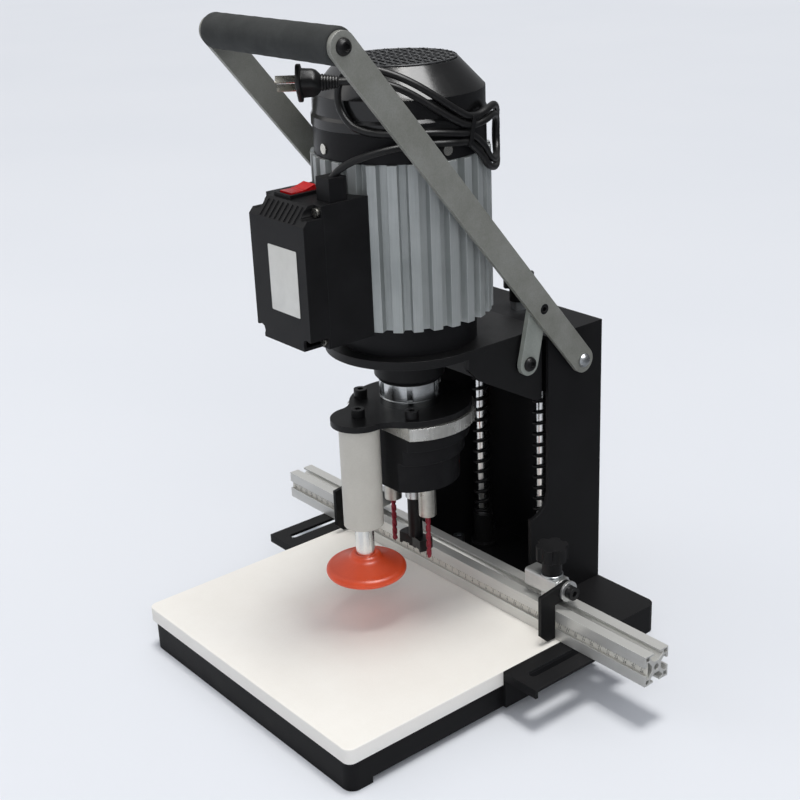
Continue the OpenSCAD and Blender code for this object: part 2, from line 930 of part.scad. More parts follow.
// Knob with its washer, its stud and the round nut in the fence's upper groove
module stop_knob() {
  nut_z = fence_top - groove_lip - 2.2;
  color("#1a1a1b")
    translate([stop_x, fence_mid, 0]) {
      translate([0, 0, knob_z])
        linear_extrude(knob_h)
          knob_star();
      translate([0, 0, bar_top + 0.2])
        cylinder(r = tee_d * 1.25, h = 2);
      translate([0, 0, bar_top + 2])
        cylinder(r = knob_d * 0.31, h = hub_h + 0.5);
      translate([0, 0, nut_z])
        cylinder(r = tee_d / 2, h = bar_top + 1 - nut_z);
      translate([0, 0, nut_z])
        cylinder(r = groove_in / 2 - 1, h = 2);
    }
}

module right_stop_block() { stop_block(); }
module right_stop_pin() { stop_pin(); }
module right_flip_plate() { flip_plate(); }
module right_stop_knob() { stop_knob(); }
module left_stop_block() { mirror([1, 0, 0]) stop_block(); }
module left_stop_pin() { mirror([1, 0, 0]) stop_pin(); }
module left_flip_plate() { mirror([1, 0, 0]) flip_plate(); }
module left_stop_knob() { mirror([1, 0, 0]) stop_knob(); }

// Four screws that hold the motor to the carriage plate
module mount_places() {
  for (a = [45 : 90 : 315])
    at_spindle(0)
      rotate(a)
        translate([bell_r - 12, 0, 0])
          children();
}

module cheek_side() {
  y0 = spindle_y + cheek_set;
  y1 = col_front - plate_gap;
  difference() {
    polygon([
      [y0, plate_z], [y1, plate_z], [y1, block_z], [y1 - web_t, block_z],
      [y0 + cheek_nose * 1.3, plate_z - cheek_nose * 2.4], [y0, plate_z - cheek_nose]]);
    translate([pin_y - pin_drift, pin_z])
      bar(pin_drift + pin_rise, pin_d + 2 * pin_rise);
  }
}

module carriage_frame() {
  y1 = col_front - plate_gap;
  color("#29292b")
    difference() {
      union() {
        at_spindle(plate_z)
          linear_extrude(plate_t) {
            circle(plate_r);
            translate([-cheek_x, 0])
              square([2 * cheek_x, y1 - spindle_y]);
          }
        pair()
          slab(cheek_x - cheek_t, cheek_t)
            cheek_side();
        translate([cheek_t / 2 - cheek_x, y1 - web_t, block_z])
          cube([2 * cheek_x - cheek_t, web_t, plate_z - block_z]);
        translate([-block_w / 2, y1 - 1, block_z])
          cube([block_w, rod_y + block_back - y1 + 1, block_h]);
      }
      pair()
        translate([rod_x, rod_y, block_z - 1])
          cylinder(r = rod_d / 2 + bush_t + run_gap, h = block_h + 2);
      at_spindle(plate_z - 1)
        cylinder(r = spigot_r, h = plate_t + 2);
      mount_places()
        translate([0, 0, plate_z - 1])
          cylinder(r = 3 + run_gap, h = plate_t + 2);
    }
}

module guide_bushes() {
  color("#b08d4a")
    pair()
      translate([rod_x, rod_y, block_z])
        sleeve(rod_d / 2 + bush_t, rod_d / 2 + run_gap, block_h);
}

module drive_bell() {
  color("#1c1c1e")
    at_spindle(bell_z)
      difference() {
        cylinder(r = bell_r, h = bell_h);
        translate([0, 0, bell_t + bearing_h])
          cylinder(r = bell_r - bell_t - 1, h = bell_h);
        translate([0, 0, bell_t])
          cylinder(r = bearing_d / 2 + run_gap, h = bell_h);
        translate([0, 0, -1])
          cylinder(r = shaft_d / 2 + 3, h = bell_h);
        for (a = [45 : 90 : 315])
          rotate(a)
            translate([bell_r - 12, 0, -1])
              cylinder(r = 3 + run_gap, h = 11);
      }
}

module motor_shell() {
  root = fin_r - fin_depth;
  pitch = 360 / fin_count;
  mouth = 2 * PI * fin_r / fin_count - fin_crest;
  color("#8b8f91")
    at_spindle(shell_z)
      linear_extrude(shell_h)
        difference() {
          circle(fin_r, $fn = 128);
          circle(shell_in, $fn = 128);
          for (i = [0 : fin_count - 1])
            rotate(i * pitch)
              polygon([
                [root, -mouth * 0.3], [fin_r + 1, -mouth / 2],
                [fin_r + 1, mouth / 2], [root, mouth * 0.3]]);
        }
}

module stator_core() {
  color("#8a5a3c")
    at_spindle(core_z)
      sleeve(shell_in - run_gap, stator_in, core_h);
}

module end_bell() {
  color("#1c1c1e")
    at_spindle(cap_z)
      difference() {
        cylinder(r = cap_r, h = cap_h);
        translate([0, 0, -1])
          cylinder(r = shell_in, h = cap_h - bell_t - bearing_h + 1);
        translate([0, 0, -1])
          cylinder(r = bearing_d / 2 + run_gap, h = cap_h - bell_t + 1);
        cylinder(r = shaft_d / 2 + 3, h = cap_h + 1);
        cover_bolts(cap_h / 2 - 4)
          cylinder(r = 2 + run_gap, h = 0.8 * cap_h);
      }
}

// Places of the four screws round the upper end bell, z above its lower end
module cover_bolts(z) {
  for (a = [-98 : 90 : 172])
    rotate(a)
      translate([cap_r + 0.2, 0, z])
        rotate([0, -90, 0])
          children();
}

module fan_cover() {
  rim = cover_r + rim_out;
  step = grille_step * sqrt(3) / 2;
  reach = floor(grille_r / step);
  color("#141416")
    at_spindle(cover_z)
      difference() {
        rotate_extrude($fn = 96)
          polygon([
            [rim - cover_t, 0], [rim, 0], [rim, rim_h], [cover_r, rim_h + 2 * rim_out],
            [cover_r, shoulder_h], [grille_r, cover_h], [0, cover_h], [0, cover_h - cover_t],
            [grille_r - cover_t / 2, cover_h - cover_t], [cover_r - cover_t, shoulder_h - cover_t / 2],
            [cover_r - cover_t, rim_h + 2 * rim_out], [rim - cover_t, rim_h]]);
        for (j = [-reach : reach], i = [-reach : reach])
          let (x = grille_step * (i + (j % 2) / 2), y = step * j)
            if (sqrt(x * x + y * y) < grille_r - grille_hole)
              translate([x, y, cover_h - cover_t - 1])
                cylinder(r = grille_hole / 2, h = cover_t + 2, $fn = 16);
      }
}

module motor_bearings() {
  color("#c9ccce")
    for (z = [bearing_low, bearing_high])
      at_spindle(z)
        sleeve(bearing_d / 2, shaft_d / 2 + run_gap, bearing_h);
}

// Corner places of the cover screws on the switch box
module lid_places() {
  for (x = [-1, 1], z = [box_z + lid_notch / 2 + 1, box_top - lid_notch / 2 - 1])
    translate([x * (box_w / 2 - lid_notch / 2 - 1), 0, z])
      children();
}

module cover_screws() {
  color("#c8b27a") {
    at_spindle(cap_z)
      cover_bolts(cap_h / 2 - 4) {
        cylinder(r = 2, h = 12);
        translate([0, 0, -0.8])
          cylinder(r = 4.5, h = 1);
      }
    translate([0, box_y, 0])
      lid_places()
        rotate([90, 0, 0]) {
          translate([0, 0, -11])
            cylinder(r = 2, h = 11);
          translate([0, 0, 2.2])
            cylinder(r = 4, h = 2.6);
          cylinder(r = 2, h = 2.5);
        }
  }
}

// Places of the two screws that pull the bracket down on the flange
module bracket_places() {
  for (s = [-1, 1])
    translate([s * bracket_r * 0.655, spindle_y - bracket_r * 0.517, 0])
      children();
}

module cap_screws() {
  color("#242426") {
    bracket_places()
      translate([0, 0, collar_z])
        cap_screw(8, bracket_t + flange_t - 2);
    translate([0, clamp_y, collar_z])
      cap_screw(8, bracket_t + cyl_end - 1);
    mount_places()
      translate([0, 0, plate_z])
        mirror([0, 0, 1])
          cap_screw(6, plate_t + 9);
  }
}

module motor_room() {
  at_spindle(box_z - box_h / 2)
    cylinder(r = fin_r + slide_gap, h = box_h * 2, $fn = 128);
}

// Frame round the rocker, let into the box and its lid
module rocker_frame() {
  translate([rocker_x - rocker_w / 2 - 3.5, rocker_y - rocker_l / 2 - 3.5, box_top - 1])
    cube([rocker_w + 7, rocker_l + 7, 4]);
}

module rocker_room() {
  translate([rocker_x - rocker_w / 2 - slide_gap, rocker_y - rocker_l / 2 - 1, box_top - box_t - 1])
    cube([rocker_w + 2 * slide_gap, rocker_l + 2, box_t + 6]);
}

module switch_box() {
  inner_w = box_w - 2 * box_t;
  color("#1b1b1d")
    difference() {
      union() {
        translate([-box_w / 2, box_y, box_z])
          cube([box_w, box_set * 0.75, box_h]);
        rocker_frame();
      }
      motor_room();
      translate([-inner_w / 2, box_y - 1, box_z + box_t])
        cube([inner_w, box_set - fin_r - 3, box_h - 2 * box_t]);
      rocker_room();
      translate([0, box_y, 0])
        lid_places()
          rotate([90, 0, 0])
            translate([0, 0, -12])
              cylinder(r = 2 + run_gap, h = 13);
    }
  // corner posts that take the cover screws
  color("#1b1b1d")
    translate([0, box_y, 0])
      lid_places()
        rotate([-90, 0, 0])
          sleeve(lid_notch / 2 + 1, 2 + run_gap, 14);
}

module lid_profile(inset) {
  polygon([
    [box_front + inset, box_z + inset], [box_y, box_z + inset], [box_y, box_top - inset],
    [box_front + lid_chamfer, box_top - inset], [box_front + inset, box_top - lid_chamfer - 2]]);
}

module switch_lid() {
  pitch = (box_w - 2 * lid_notch - 4) / lid_ribs;
  lean = atan2(lid_chamfer + 2, lid_chamfer);
  color("#19191b")
    difference() {
      union() {
        slab(-box_w / 2, box_w)
          lid_profile(0);
        for (i = [0 : lid_ribs - 1])
          translate([(i - (lid_ribs - 1) / 2) * pitch - 1, box_front, box_top - lid_chamfer - 2])
            rotate([lean, 0, 0])
              translate([0, 1, -1])
                cube([2, lid_chamfer * 1.25, 2]);
      }
      difference() {
        translate([box_t - box_w / 2, box_front + box_t, box_z + box_t])
          cube([box_w - 2 * box_t, lid_d, box_h - 2 * box_t - lid_chamfer]);
        translate([0, box_y, 0])
          lid_places()
            cube([lid_notch + 4, 6, lid_notch + 4], center = true);
      }
      translate([0, box_y - 2, 0])
        lid_places()
          rotate([90, 0, 0])
            cylinder(r = lid_notch / 2, h = lid_d);
      translate([0, box_y + 1, 0])
        lid_places()
          rotate([90, 0, 0])
            cylinder(r = 2 + run_gap, h = lid_d);
      rocker_frame();
      rocker_room();
      // the corners in front of the screws are cut away
      for (x = [-1, 1], z = [-1, 1])
        translate([x * box_w / 2, box_front, box_z + box_h / 2 + z * box_h / 2])
          cube([2 * lid_notch, 2 * (lid_d - 2.2), 2 * lid_notch], center = true);
    }
}

module switch_rocker() {
  half = rocker_l / 2;
  rise = half * tan(rocker_tilt);
  color("#d0141a")
    translate([0, rocker_y, box_top + 1])
      slab(rocker_x - rocker_w / 2, rocker_w)
        rotate(rocker_tilt) {
          polygon([
            [1 - half, 3 + rise], [0, 3], [half - 1, 3 + rise], [half - 1, 0.5],
            [3, -3], [-3, -3], [1 - half, 0.5]]);
          circle(3.6);
        }
}

module cable_entry() {
  color("#18181a")
    difference() {
      translate([entry_x - entry_w / 2, entry_y - entry_w / 2, box_top])
        cube([entry_w, entry_w, entry_h]);
      translate(entry_mouth - entry_bore * entry_way)
        rotate([0, entry_lean, entry_yaw])
          rotate(90)
            cylinder(r = cord_d / 2 + run_gap, h = 2.5 * entry_bore);
    }
}

module head_neck() {
  bore = shaft_d / 2 + 3;
  color("#202022")
    at_spindle(0)
      difference() {
        union() {
          translate([0, 0, neck_z])
            rotate_extrude()
              polygon([[bore, 0], [neck_r - 4, 0], [neck_r, 5], [neck_r, neck_h], [bore, neck_h]]);
          translate([0, 0, flange_z + 2])
            cylinder(r = spigot_r - run_gap, h = neck_z - flange_z);
        }
        translate([0, 0, flange_z])
          cylinder(r = bore, h = plate_z - flange_z + 1);
      }
}

// Slotted lock ring under the neck
module clamp_collar() {
  slots = 6;
  color("#d5d8da")
    at_spindle(collar_z)
      difference() {
        sleeve(collar_r, spigot_r, collar_h);
        for (i = [0 : slots - 1])
          rotate(i * 360 / slots + 20)
            translate([collar_r - 2.5, -2.5, collar_h * 0.35])
              cube([5, 5, collar_h]);
        translate([0, 0, collar_h * 0.3])
          sleeve(collar_r + 1, collar_r - 1, 1.5);
      }
}

// Plate over the head, drawn in to a round lobe for the hold-down cylinder
module clamp_bracket() {
  end_r = cyl_d / 2 + 7;
  hollow = end_r * 0.77;
  far = bracket_r + hollow;
  near = end_r + hollow;
  hollow_y = (far * far - near * near + clamp_set * clamp_set) / (2 * clamp_set);
  hollow_x = sqrt(far * far - hollow_y * hollow_y);
  neck_w = 2 * hollow_x * bracket_r / far;
  color("#222224")
    at_spindle(bracket_z)
      difference() {
        linear_extrude(bracket_t)
          difference() {
            union() {
              circle(bracket_r);
              translate([0, -clamp_set])
                circle(end_r);
              difference() {
                translate([-neck_w / 2, -hollow_y])
                  square([neck_w, hollow_y - spigot_r]);
                for (s = [-1, 1])
                  translate([s * hollow_x, -hollow_y])
                    circle(hollow + slide_gap);
              }
            }
            circle(spigot_r);
            translate([0, -clamp_set])
              circle(4 + run_gap);
          }
        translate([0, -spindle_y, -1])
          bracket_places()
            cylinder(r = 4 + run_gap, h = bracket_t + 2);
      }
}

module head_flange() {
  color("#d2d5d6")
    difference() {
      at_spindle(flange_z)
        linear_extrude(flange_t)
          difference() {
            dee(flange_r, flange_flat);
            circle(spigot_r);
          }
      bracket_places()
        translate([0, 0, flange_z])
          cylinder(r = 4 + run_gap, h = flange_t + 1);
    }
}

// Places of the side drills about the cup axis
module drill_places() {
  for (x = [-drill_x, drill_x])
    translate([x, drill_y, 0])
      children();
}

module head_housing() {
  low_h = house_h * 0.5;
  mid_h = house_h * 0.27;
  color("#19191b")
    difference() {
      union() {
        at_spindle(house_z)
          linear_extrude(low_h)
            dee(house_r - 2 * tier_step, house_flat);
        at_spindle(house_z + low_h)
          linear_extrude(mid_h)
            dee(house_r - tier_step, house_flat);
        at_spindle(house_z + low_h + mid_h)
          linear_extrude(house_h - low_h - mid_h)
            dee(house_r, house_flat);
      }
      at_spindle(house_z - 1)
        cylinder(r = nose_d / 2 + run_gap, h = house_h);
      at_spindle(gear_z - 1)
        cylinder(r = gear_room, h = house_h);
      drill_places() {
        translate([0, 0, house_z - 1])
          cylinder(r = journal_d / 2 + run_gap, h = house_h);
        translate([0, 0, gear_z - 1])
          cylinder(r = gear_room, h = house_h);
      }
    }
}

module clamp_cylinder() {
  color("#b7b4ac")
    translate([0, clamp_y, cyl_z])
      difference() {
        cylinder(r = cyl_d / 2, h = cyl_h);
        translate([0, 0, cyl_end])
          cylinder(r = cyl_d / 2 - cyl_t, h = cyl_h - 2 * cyl_end);
        translate([0, 0, -1])
          cylinder(r = plunger_d / 2 + run_gap, h = cyl_end + 2);
        translate([0, 0, cyl_h - cyl_end - 1])
          cylinder(r = 4 + run_gap, h = cyl_end + 2);
      }
}

head_top = cyl_z + cyl_end + 0.2 + plunger_head;

module clamp_spring() {
  r = cyl_d / 2 - cyl_t - 0.8;
  color("#55585a")
    translate([0, clamp_y, head_top + 0.2])
      sleeve(r, r - 3.5, bracket_z - cyl_end - head_top - 0.4);
}

module clamp_rod() {
  low = foot_z + 7;
  color("#d4d7d9")
    translate([0, clamp_y, 0]) {
      translate([0, 0, low])
        cylinder(r = plunger_d / 2, h = head_top - low);
      translate([0, 0, head_top - plunger_head])
        cylinder(r = cyl_d / 2 - cyl_t - 0.4, h = plunger_head);
    }
}

module clamp_foot() {
  r = foot_d / 2;
  neck = plunger_d / 2 + 3;
  color("#d9482a")
    translate([0, clamp_y, foot_z])
      difference() {
        rotate_extrude($fn = 96)
          difference() {
            union() {
              polygon([[0, 0], [r - 5, 0], [r - 5, 10], [neck + 4, pad_h - 3], [neck, pad_h], [0, pad_h]]);
              translate([r - 5, 5])
                circle(5);
            }
            translate([-r, -1])
              square([r, pad_h + 2]);
          }
        translate([0, 0, 7])
          cylinder(r = plunger_d / 2 + run_gap, h = pad_h);
      }
}

// Rotor with the shaft that runs down through the neck to the cup spindle's nose
module rotor_shaft() {
  low = house_z - cup_nose_h;
  color("#a9adaf")
    at_spindle(0)
      difference() {
        union() {
          translate([0, 0, low])
            cylinder(r = nose_d / 2, h = gear_z - low - 1);
          translate([0, 0, gear_z - 2])
            cylinder(r = shaft_d / 2, h = cover_z + shoulder_h - gear_z);
          translate([0, 0, gear_z])
            gear(0);
          translate([0, 0, core_z])
            cylinder(r = rotor_r, h = core_h);
        }
        translate([0, 0, low - 1])
          cylinder(r = shank_r + run_gap, h = cup_nose_h - 4);
      }
}

module cooling_fan() {
  hub = shaft_d / 2 + 6;
  fan_h = 0.35 * cover_h;
  color("#3b3d40")
    at_spindle(cover_z + 5)
      difference() {
        union() {
          cylinder(r = hub, h = fan_h);
          cylinder(r = fan_r, h = 2);
          for (i = [0 : fan_blades - 1])
            rotate(i * 360 / fan_blades)
              translate([hub - 1, -1, 0])
                cube([fan_r - hub, 2, 0.9 * fan_h]);
        }
        translate([0, 0, -1])
          cylinder(r = shaft_d / 2 + run_gap, h = fan_h + 2);
      }
}

// Spur gear about the origin, its first tooth on +X; the flanks leave room for the meshing gear
module gear(phase) {
  root = gear_m * (gear_teeth / 2 - 1.3);
  tip = gear_m * (gear_teeth / 2 + 0.8);
  base = PI * gear_m * 0.34;
  rotate(phase)
    linear_extrude(gear_h) {
      circle(root);
      for (i = [0 : gear_teeth - 1])
        rotate(i * 360 / gear_teeth)
          polygon([[root - 1, -base], [root, -base], [tip, -base * 0.35],
            [tip, base * 0.35], [root, base], [root - 1, base]]);
    }
}

// Two-winged cutter with a spur at the end of each wing and a point in the middle
module cup_bit() {
  tip = 2.5;
  low = house_z - cup_nose_h;
  reach = cup_d / 2;
  wing = cup_d * 0.24;
  waist = cup_body_d * 0.35;
  color("#202023")
    at_spindle(cut_z) {
      intersection() {
        cylinder(r = reach, h = cup_h);
        difference() {
          linear_extrude(cup_h)
            polygon([
              [reach, -wing], [reach, wing], [0, waist],
              [-reach, wing], [-reach, -wing], [0, -waist]]);
          translate([0, 0, -1])
            sleeve(reach - 2.5, cup_d * 0.2, 3);
        }
      }
      translate([0, 0, cup_h - 1])
        cylinder(r = cup_body_d / 2, h = low - cut_z - cup_h + 1);
      translate([0, 0, low - cut_z - 1])
        cylinder(r = shank_r, h = cup_nose_h - 7);
      translate([0, 0, -tip])
        cylinder(r1 = 0.4, r2 = 3.2, h = tip + 0.5);
    }
}

// Side spindle at x: gear, journals and the nose below the housing
module spindle(x) {
  nose_top = house_z - slide_gap;
  // half a tooth off, turned to the line between the two axes
  phase = x > 0 ? -2 * gear_lean + 180 / gear_teeth : 2 * gear_lean + 180 / gear_teeth;
  color("#cfd1ce")
    translate([x, drill_y, 0])
      difference() {
        union() {
          translate([0, 0, nose_top - nose_h])
            cylinder(r = nose_d / 2, h = nose_h);
          translate([0, 0, nose_top - 1])
            cylinder(r = journal_d / 2, h = gear_z + gear_h + 3 - nose_top);
          translate([0, 0, gear_z])
            gear(phase);
        }
        translate([0, 0, nose_top - nose_h - 1])
          cylinder(r = drill_d / 2 + run_gap, h = nose_h - 4);
      }
}

module side_drill(x) {
  low = cut_z - drill_low;
  top = house_z - slide_gap - 6;
  color("#8c2f3c")
    translate([x, drill_y, low]) {
      translate([0, 0, 3])
        cylinder(r = drill_d / 2, h = top - low - 3);
      cylinder(r1 = 0.3, r2 = drill_d / 2, h = 3);
    }
}

module left_spindle() { spindle(-drill_x); }
module right_spindle() { spindle(drill_x); }
module left_drill() { side_drill(-drill_x); }
module right_drill() { side_drill(drill_x); }

module arm_side() {
  translate([pivot_y, pivot_z])
    rotate(180 - lever_rest)
      difference() {
        bar(lever_len, arm_w);
        circle(pivot_d / 2 + run_gap);
        translate([link_reach, 0])
          circle(pin_d / 2 + run_gap);
        translate([lever_len, 0])
          circle(pin_d / 2 + run_gap);
      }
}

module lever_arms() {
  color("#6f7272")
    pair()
      slab(arm_x, arm_t)
        arm_side();
}

module handle_grip() {
  color("#3a3c3c")
    translate([0, grip_y, grip_z])
      difference() {
        xbar(grip_d / 2, seam - arm_x, arm_x - seam);
        xbar(tube_d / 2 + run_gap, -arm_x - 1, arm_x + 1);
      }
}

module handle_tube() {
  color("#9a9da0")
    translate([0, grip_y, grip_z])
      difference() {
        xbar(tube_d / 2, -arm_x, arm_x);
        xbar(pin_d / 2 + run_gap, -arm_x - 1, arm_x + 1);
      }
}

// Half section of a button head
function button(r) = [
  [0, 0], [r, 0], [r * 0.98, 1.2], [r * 0.86, 2.8], [r * 0.62, 4], [r * 0.35, 4.5], [0, 4.5]];

// Button-head bolts of the grip and the upper pins of the links
module lever_bolts() {
  head_r = pin_d * 0.7;
  out = arm_x + arm_t;
  color("#2a2a2c")
    pair() {
      translate([0, grip_y, grip_z]) {
        xbar(pin_d / 2, arm_x - pin_d * 3, out + 1);
        translate([out, 0, 0])
          rotate([0, 90, 0])
            difference() {
              rotate_extrude()
                polygon(button(head_r));
              translate([0, 0, 2])
                cylinder(r = pin_d * 0.35, h = 4, $fn = 6);
            }
      }
      translate([0, link_y, link_z]) {
        difference() {
          xbar(pin_d / 2, link_x - slide_gap - 1.5, out);
          xbar(pin_d * 0.25, out - 4, out + 1, $fn = 6);
        }
        xbar(head_r, link_x + link_t + slide_gap, arm_x);
        xbar(head_r, link_x - slide_gap - 1.5, link_x - slide_gap);
      }
    }
}

module links() {
  color("#7b7f7f")
    pair()
      slab(link_x, link_t)
        translate([link_y, link_z])
          rotate(link_tilt - 90)
            difference() {
              bar(link_len, link_w);
              circle(pin_d / 2 + run_gap);
              translate([link_len, 0])
                circle(pin_d / 2 + run_gap);
            }
}

module link_bolts() {
  head_r = pin_d * 0.7;
  out = link_x + link_t;
  inner = cheek_x - cheek_t - slide_gap;
  color("#1f1f21")
    pair()
      translate([0, pin_y, pin_z]) {
        xbar(pin_d / 2, inner - 3, out + 1);
        xbar(head_r, inner - 3, inner);
        xbar(head_r, cheek_x + slide_gap, link_x);
        translate([out, 0, 0])
          rotate([0, 90, 0])
            difference() {
              rotate_extrude()
                polygon(button(head_r));
              translate([0, 0, 2])
                cylinder(r = pin_d * 0.35, h = 4, $fn = 6);
            }
      }
}

// Cord: swept tubes with rings square to the route
function unit(v) = v / norm(v);
function tangent(p, i) = unit(p[min(i + 1, len(p) - 1)] - p[max(i - 1, 0)]);
function ring_at(c, t, up, r, n) =
  let (u = unit(cross(up, t)), w = cross(t, u))
    [for (k = [0 : n - 1]) c + r * (cos(360 * k / n) * u + sin(360 * k / n) * w)];

module swept(p, r, n, up) {
  points = [for (i = [0 : len(p) - 1]) each ring_at(p[i], tangent(p, i), up[i], r, n)];
  polyhedron(points, tube_faces(len(p), n), convexity = 10);
}

// Hank: strands laid side by side round the motor, s along them and v across, in two layers.
// The strands lie close at the tie and open to wide folds at both ends, and lift over the fins below the tie.
hank_r = cover_r + rim_out + cord_d / 2 + 0.6;
hank_z = 510;
hank_from = 126;
hank_waist = 40;
fold_low = 2;
fold_high = 134;
fold_r = 18.6;
step_wide = 0.24;
run_in = 50;
lead_out = 100;
function ease(t) =
  let (c = min(1, max(0, t)))
    c * c * (3 - 2 * c);
// Place across the hank of strand k: 0.5 and 1.5 above the middle, negative below
function strand(s, k) =
  let (end = s < hank_waist ? fold_low : fold_high,
    open = (s - hank_waist) / (end - hank_waist),
    step = strand_step * (1 + step_wide * 4 * open * (1 - open)))
    k * step + sign(k) * (fold_r - strand_step / 2) * ease(open);
function hank_rise(s) =
  30 * ease((s - 20) / 130) + 0.05 * s - (s < hank_waist ? 0.25 * pow(hank_waist - s, 2) / hank_waist : 0);
function hank_lean(s) = atan((hank_rise(s + 1) - hank_rise(s - 1)) / 2);
// A point from [s, v in millimetres, layer]
function hank_point(q) =
  let (lean = hank_lean(q[0]),
    a = hank_from - (q[0] - q[1] * sin(lean)) / hank_r * 180 / PI,
    r = hank_r + q[2] * (cord_d + 0.8) + 3.6 * ease((38 - q[0]) / 18))
    [r * sin(a), spindle_y - r * cos(a), hank_z + hank_rise(q[0]) + q[1] * cos(lean)];
// A half turn at s from v0 to v1, bulging by way
function hank_fold(s, v0, v1, way, layer) =
  let (mid = (v0 + v1) / 2, r = abs(v1 - v0) / 2)
    [for (i = [1 : 7])
      let (b = 180 * i / 8)
        [s + way * r * sin(b), mid + (v0 - mid) * cos(b), layer]];
// A run from s0 to s1 that passes from strand k0 to k1 and from layer l0 to l1
function hank_run(s0, s1, k0, k1, l0, l1) =
  let (n = ceil(abs(s1 - s0) / 11))
    [for (i = [0 : n])
      let (f = i / n, s = s0 + (s1 - s0) * f)
        [s, strand(s, k0) + (strand(s, k1) - strand(s, k0)) * ease(f), l0 + (l1 - l0) * ease(f)]];
hank_route = concat(
  hank_run(run_in, fold_low, -1.5, -1.5, 0, 0),
  hank_fold(fold_low, strand(fold_low, -1.5), strand(fold_low, 1.5), -1, 0),
  hank_run(fold_low, fold_high, 1.5, 1.5, 0, 0),
  hank_fold(fold_high, strand(fold_high, 1.5), strand(fold_high, -1.5), 1, 0),
  hank_run(fold_high, run_in + 14, -1.5, -0.5, 0, 0),
  hank_run(run_in, fold_low, -0.5, -0.5, 0, 0),
  hank_fold(fold_low, strand(fold_low, -0.5), strand(fold_low, 0.5), -1, 0),
  hank_run(fold_low, lead_out - 10, 0.5, 0.5, 0, 0),
  [[lead_out, strand(lead_out, 0.5), 0.1]]);
hank_loops = [for (q = hank_route) hank_point(q)];
plug_at = [37, -70, 562.5];
lead = [
  [64.7, -31.8, 555.1], [59.3, -40.9, 559], [53.9, -49.1, 561.2], [48.8, -56, 562.2], [44.4, -61.4, 562.5],
  [41.1, -65.3, 562.5], plug_at];
hank = concat(hank_loops, lead);
start_way = tangent(hank_loops, 0);
run = [
  entry_mouth - entry_bore * entry_way, entry_mouth + 5.5 * entry_way,
  [35.7, -69, 493.4], [39.8, -64.3, 496.6], [45.2, -58, 499.8], [52, -49.8, 502.9], [58.8, -40, 505.4],
  [65.3, -28.8, 507], [71.3, -16.8, 507.6],
  [76.2, -4.6, 507.4], [79.6, 4.6, 506.8],
  hank_loops[0] - cord_d * start_way, hank_loops[0] - run_gap * start_way];

// Way along a route to each of its points
function way_to(p) = [
  for (i = 0, d = 0; i < len(p); d = d + (i + 1 < len(p) ? norm(p[i + 1] - p[i]) : 0), i = i + 1) d];
// Least gap of a tube to itself, over points more than three diameters apart along it
function self_gap(p, d) =
  let (w = way_to(p))
    min([for (i = [0 : len(p) - 2], j = [i + 1 : len(p) - 1])
      if (w[j] - w[i] > 3 * d) norm(p[i] - p[j])]) - d;
echo(hank_gap = self_gap(hank, cord_d));
echo(spring_gap = min(coil_close, coil_pitch) - wire_d);
echo(cord_length = way_to(run)[len(run) - 1] + way_to(hank)[len(hank) - 1]);

module cord_run() {
  color("#161618")
    swept(run, cord_d / 2, 8, [for (q = run) [q[0], q[1] - spindle_y, 0.001]]);
}

module cord_hank() {
  color("#161618")
    swept(hank, cord_d / 2, 6, [for (q = hank) [q[0], q[1] - spindle_y, 0.001]]);
}

plug_len = 34;
plug_yaw = 49;
plug_face = plug_at - plug_len * [cos(plug_yaw), sin(plug_yaw), 0];

// The plug lies level, in line with the end of the cord, and is turned about its own length
module at_plug() {
  translate(plug_face)
    rotate([0, 90, plug_yaw])
      rotate(-40)
        children();
}

module plug_body() {
  color("#161618")
    at_plug() {
      linear_extrude(4)
        round_rect(22, 34, 8);
      translate([0, 0, 3])
        linear_extrude(15)
          round_rect(17, 26, 6);
      translate([0, 0, 17])
        rotate_extrude()
          polygon([[0, 0], [8, 0], [cord_d / 2 + 1.5, plug_len - 17], [0, plug_len - 17]]);
    }
}

module plug_blades() {
  color("#c2a56a")
    at_plug()
      for (s = [-1, 1])
        translate([-3.2, s * 6.3 - 0.8, -17])
          cube([6.4, 1.6, 17]);
}

base_tray();
fence_wings();
worktop();
column_shell();
column_bolts();
height_stop();
guide_rods();
rod_sockets();
return_springs();
fence_rail();
fence_scale();
fence_bolts();
right_stop_block();
right_stop_pin();
right_flip_plate();
right_stop_knob();
left_stop_block();
left_stop_pin();
left_flip_plate();
left_stop_knob();
carriage_frame();
guide_bushes();
drive_bell();
motor_shell();
stator_core();
end_bell();
fan_cover();
motor_bearings();
cover_screws();
cap_screws();
switch_box();
switch_lid();
cable_entry();
cord_run();
cord_hank();
plug_body();
plug_blades();
head_neck();
clamp_collar();
clamp_bracket();
head_flange();
head_housing();
clamp_cylinder();
clamp_spring();
rotor_shaft();
cooling_fan();
cup_bit();
left_spindle();
right_spindle();
left_drill();
right_drill();
clamp_rod();
clamp_foot();
switch_rocker();
lever_arms();
handle_grip();
handle_tube();
lever_bolts();
links();
link_bolts();
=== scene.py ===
import json
import math

import bmesh
import bpy
from mathutils import Matrix, Vector


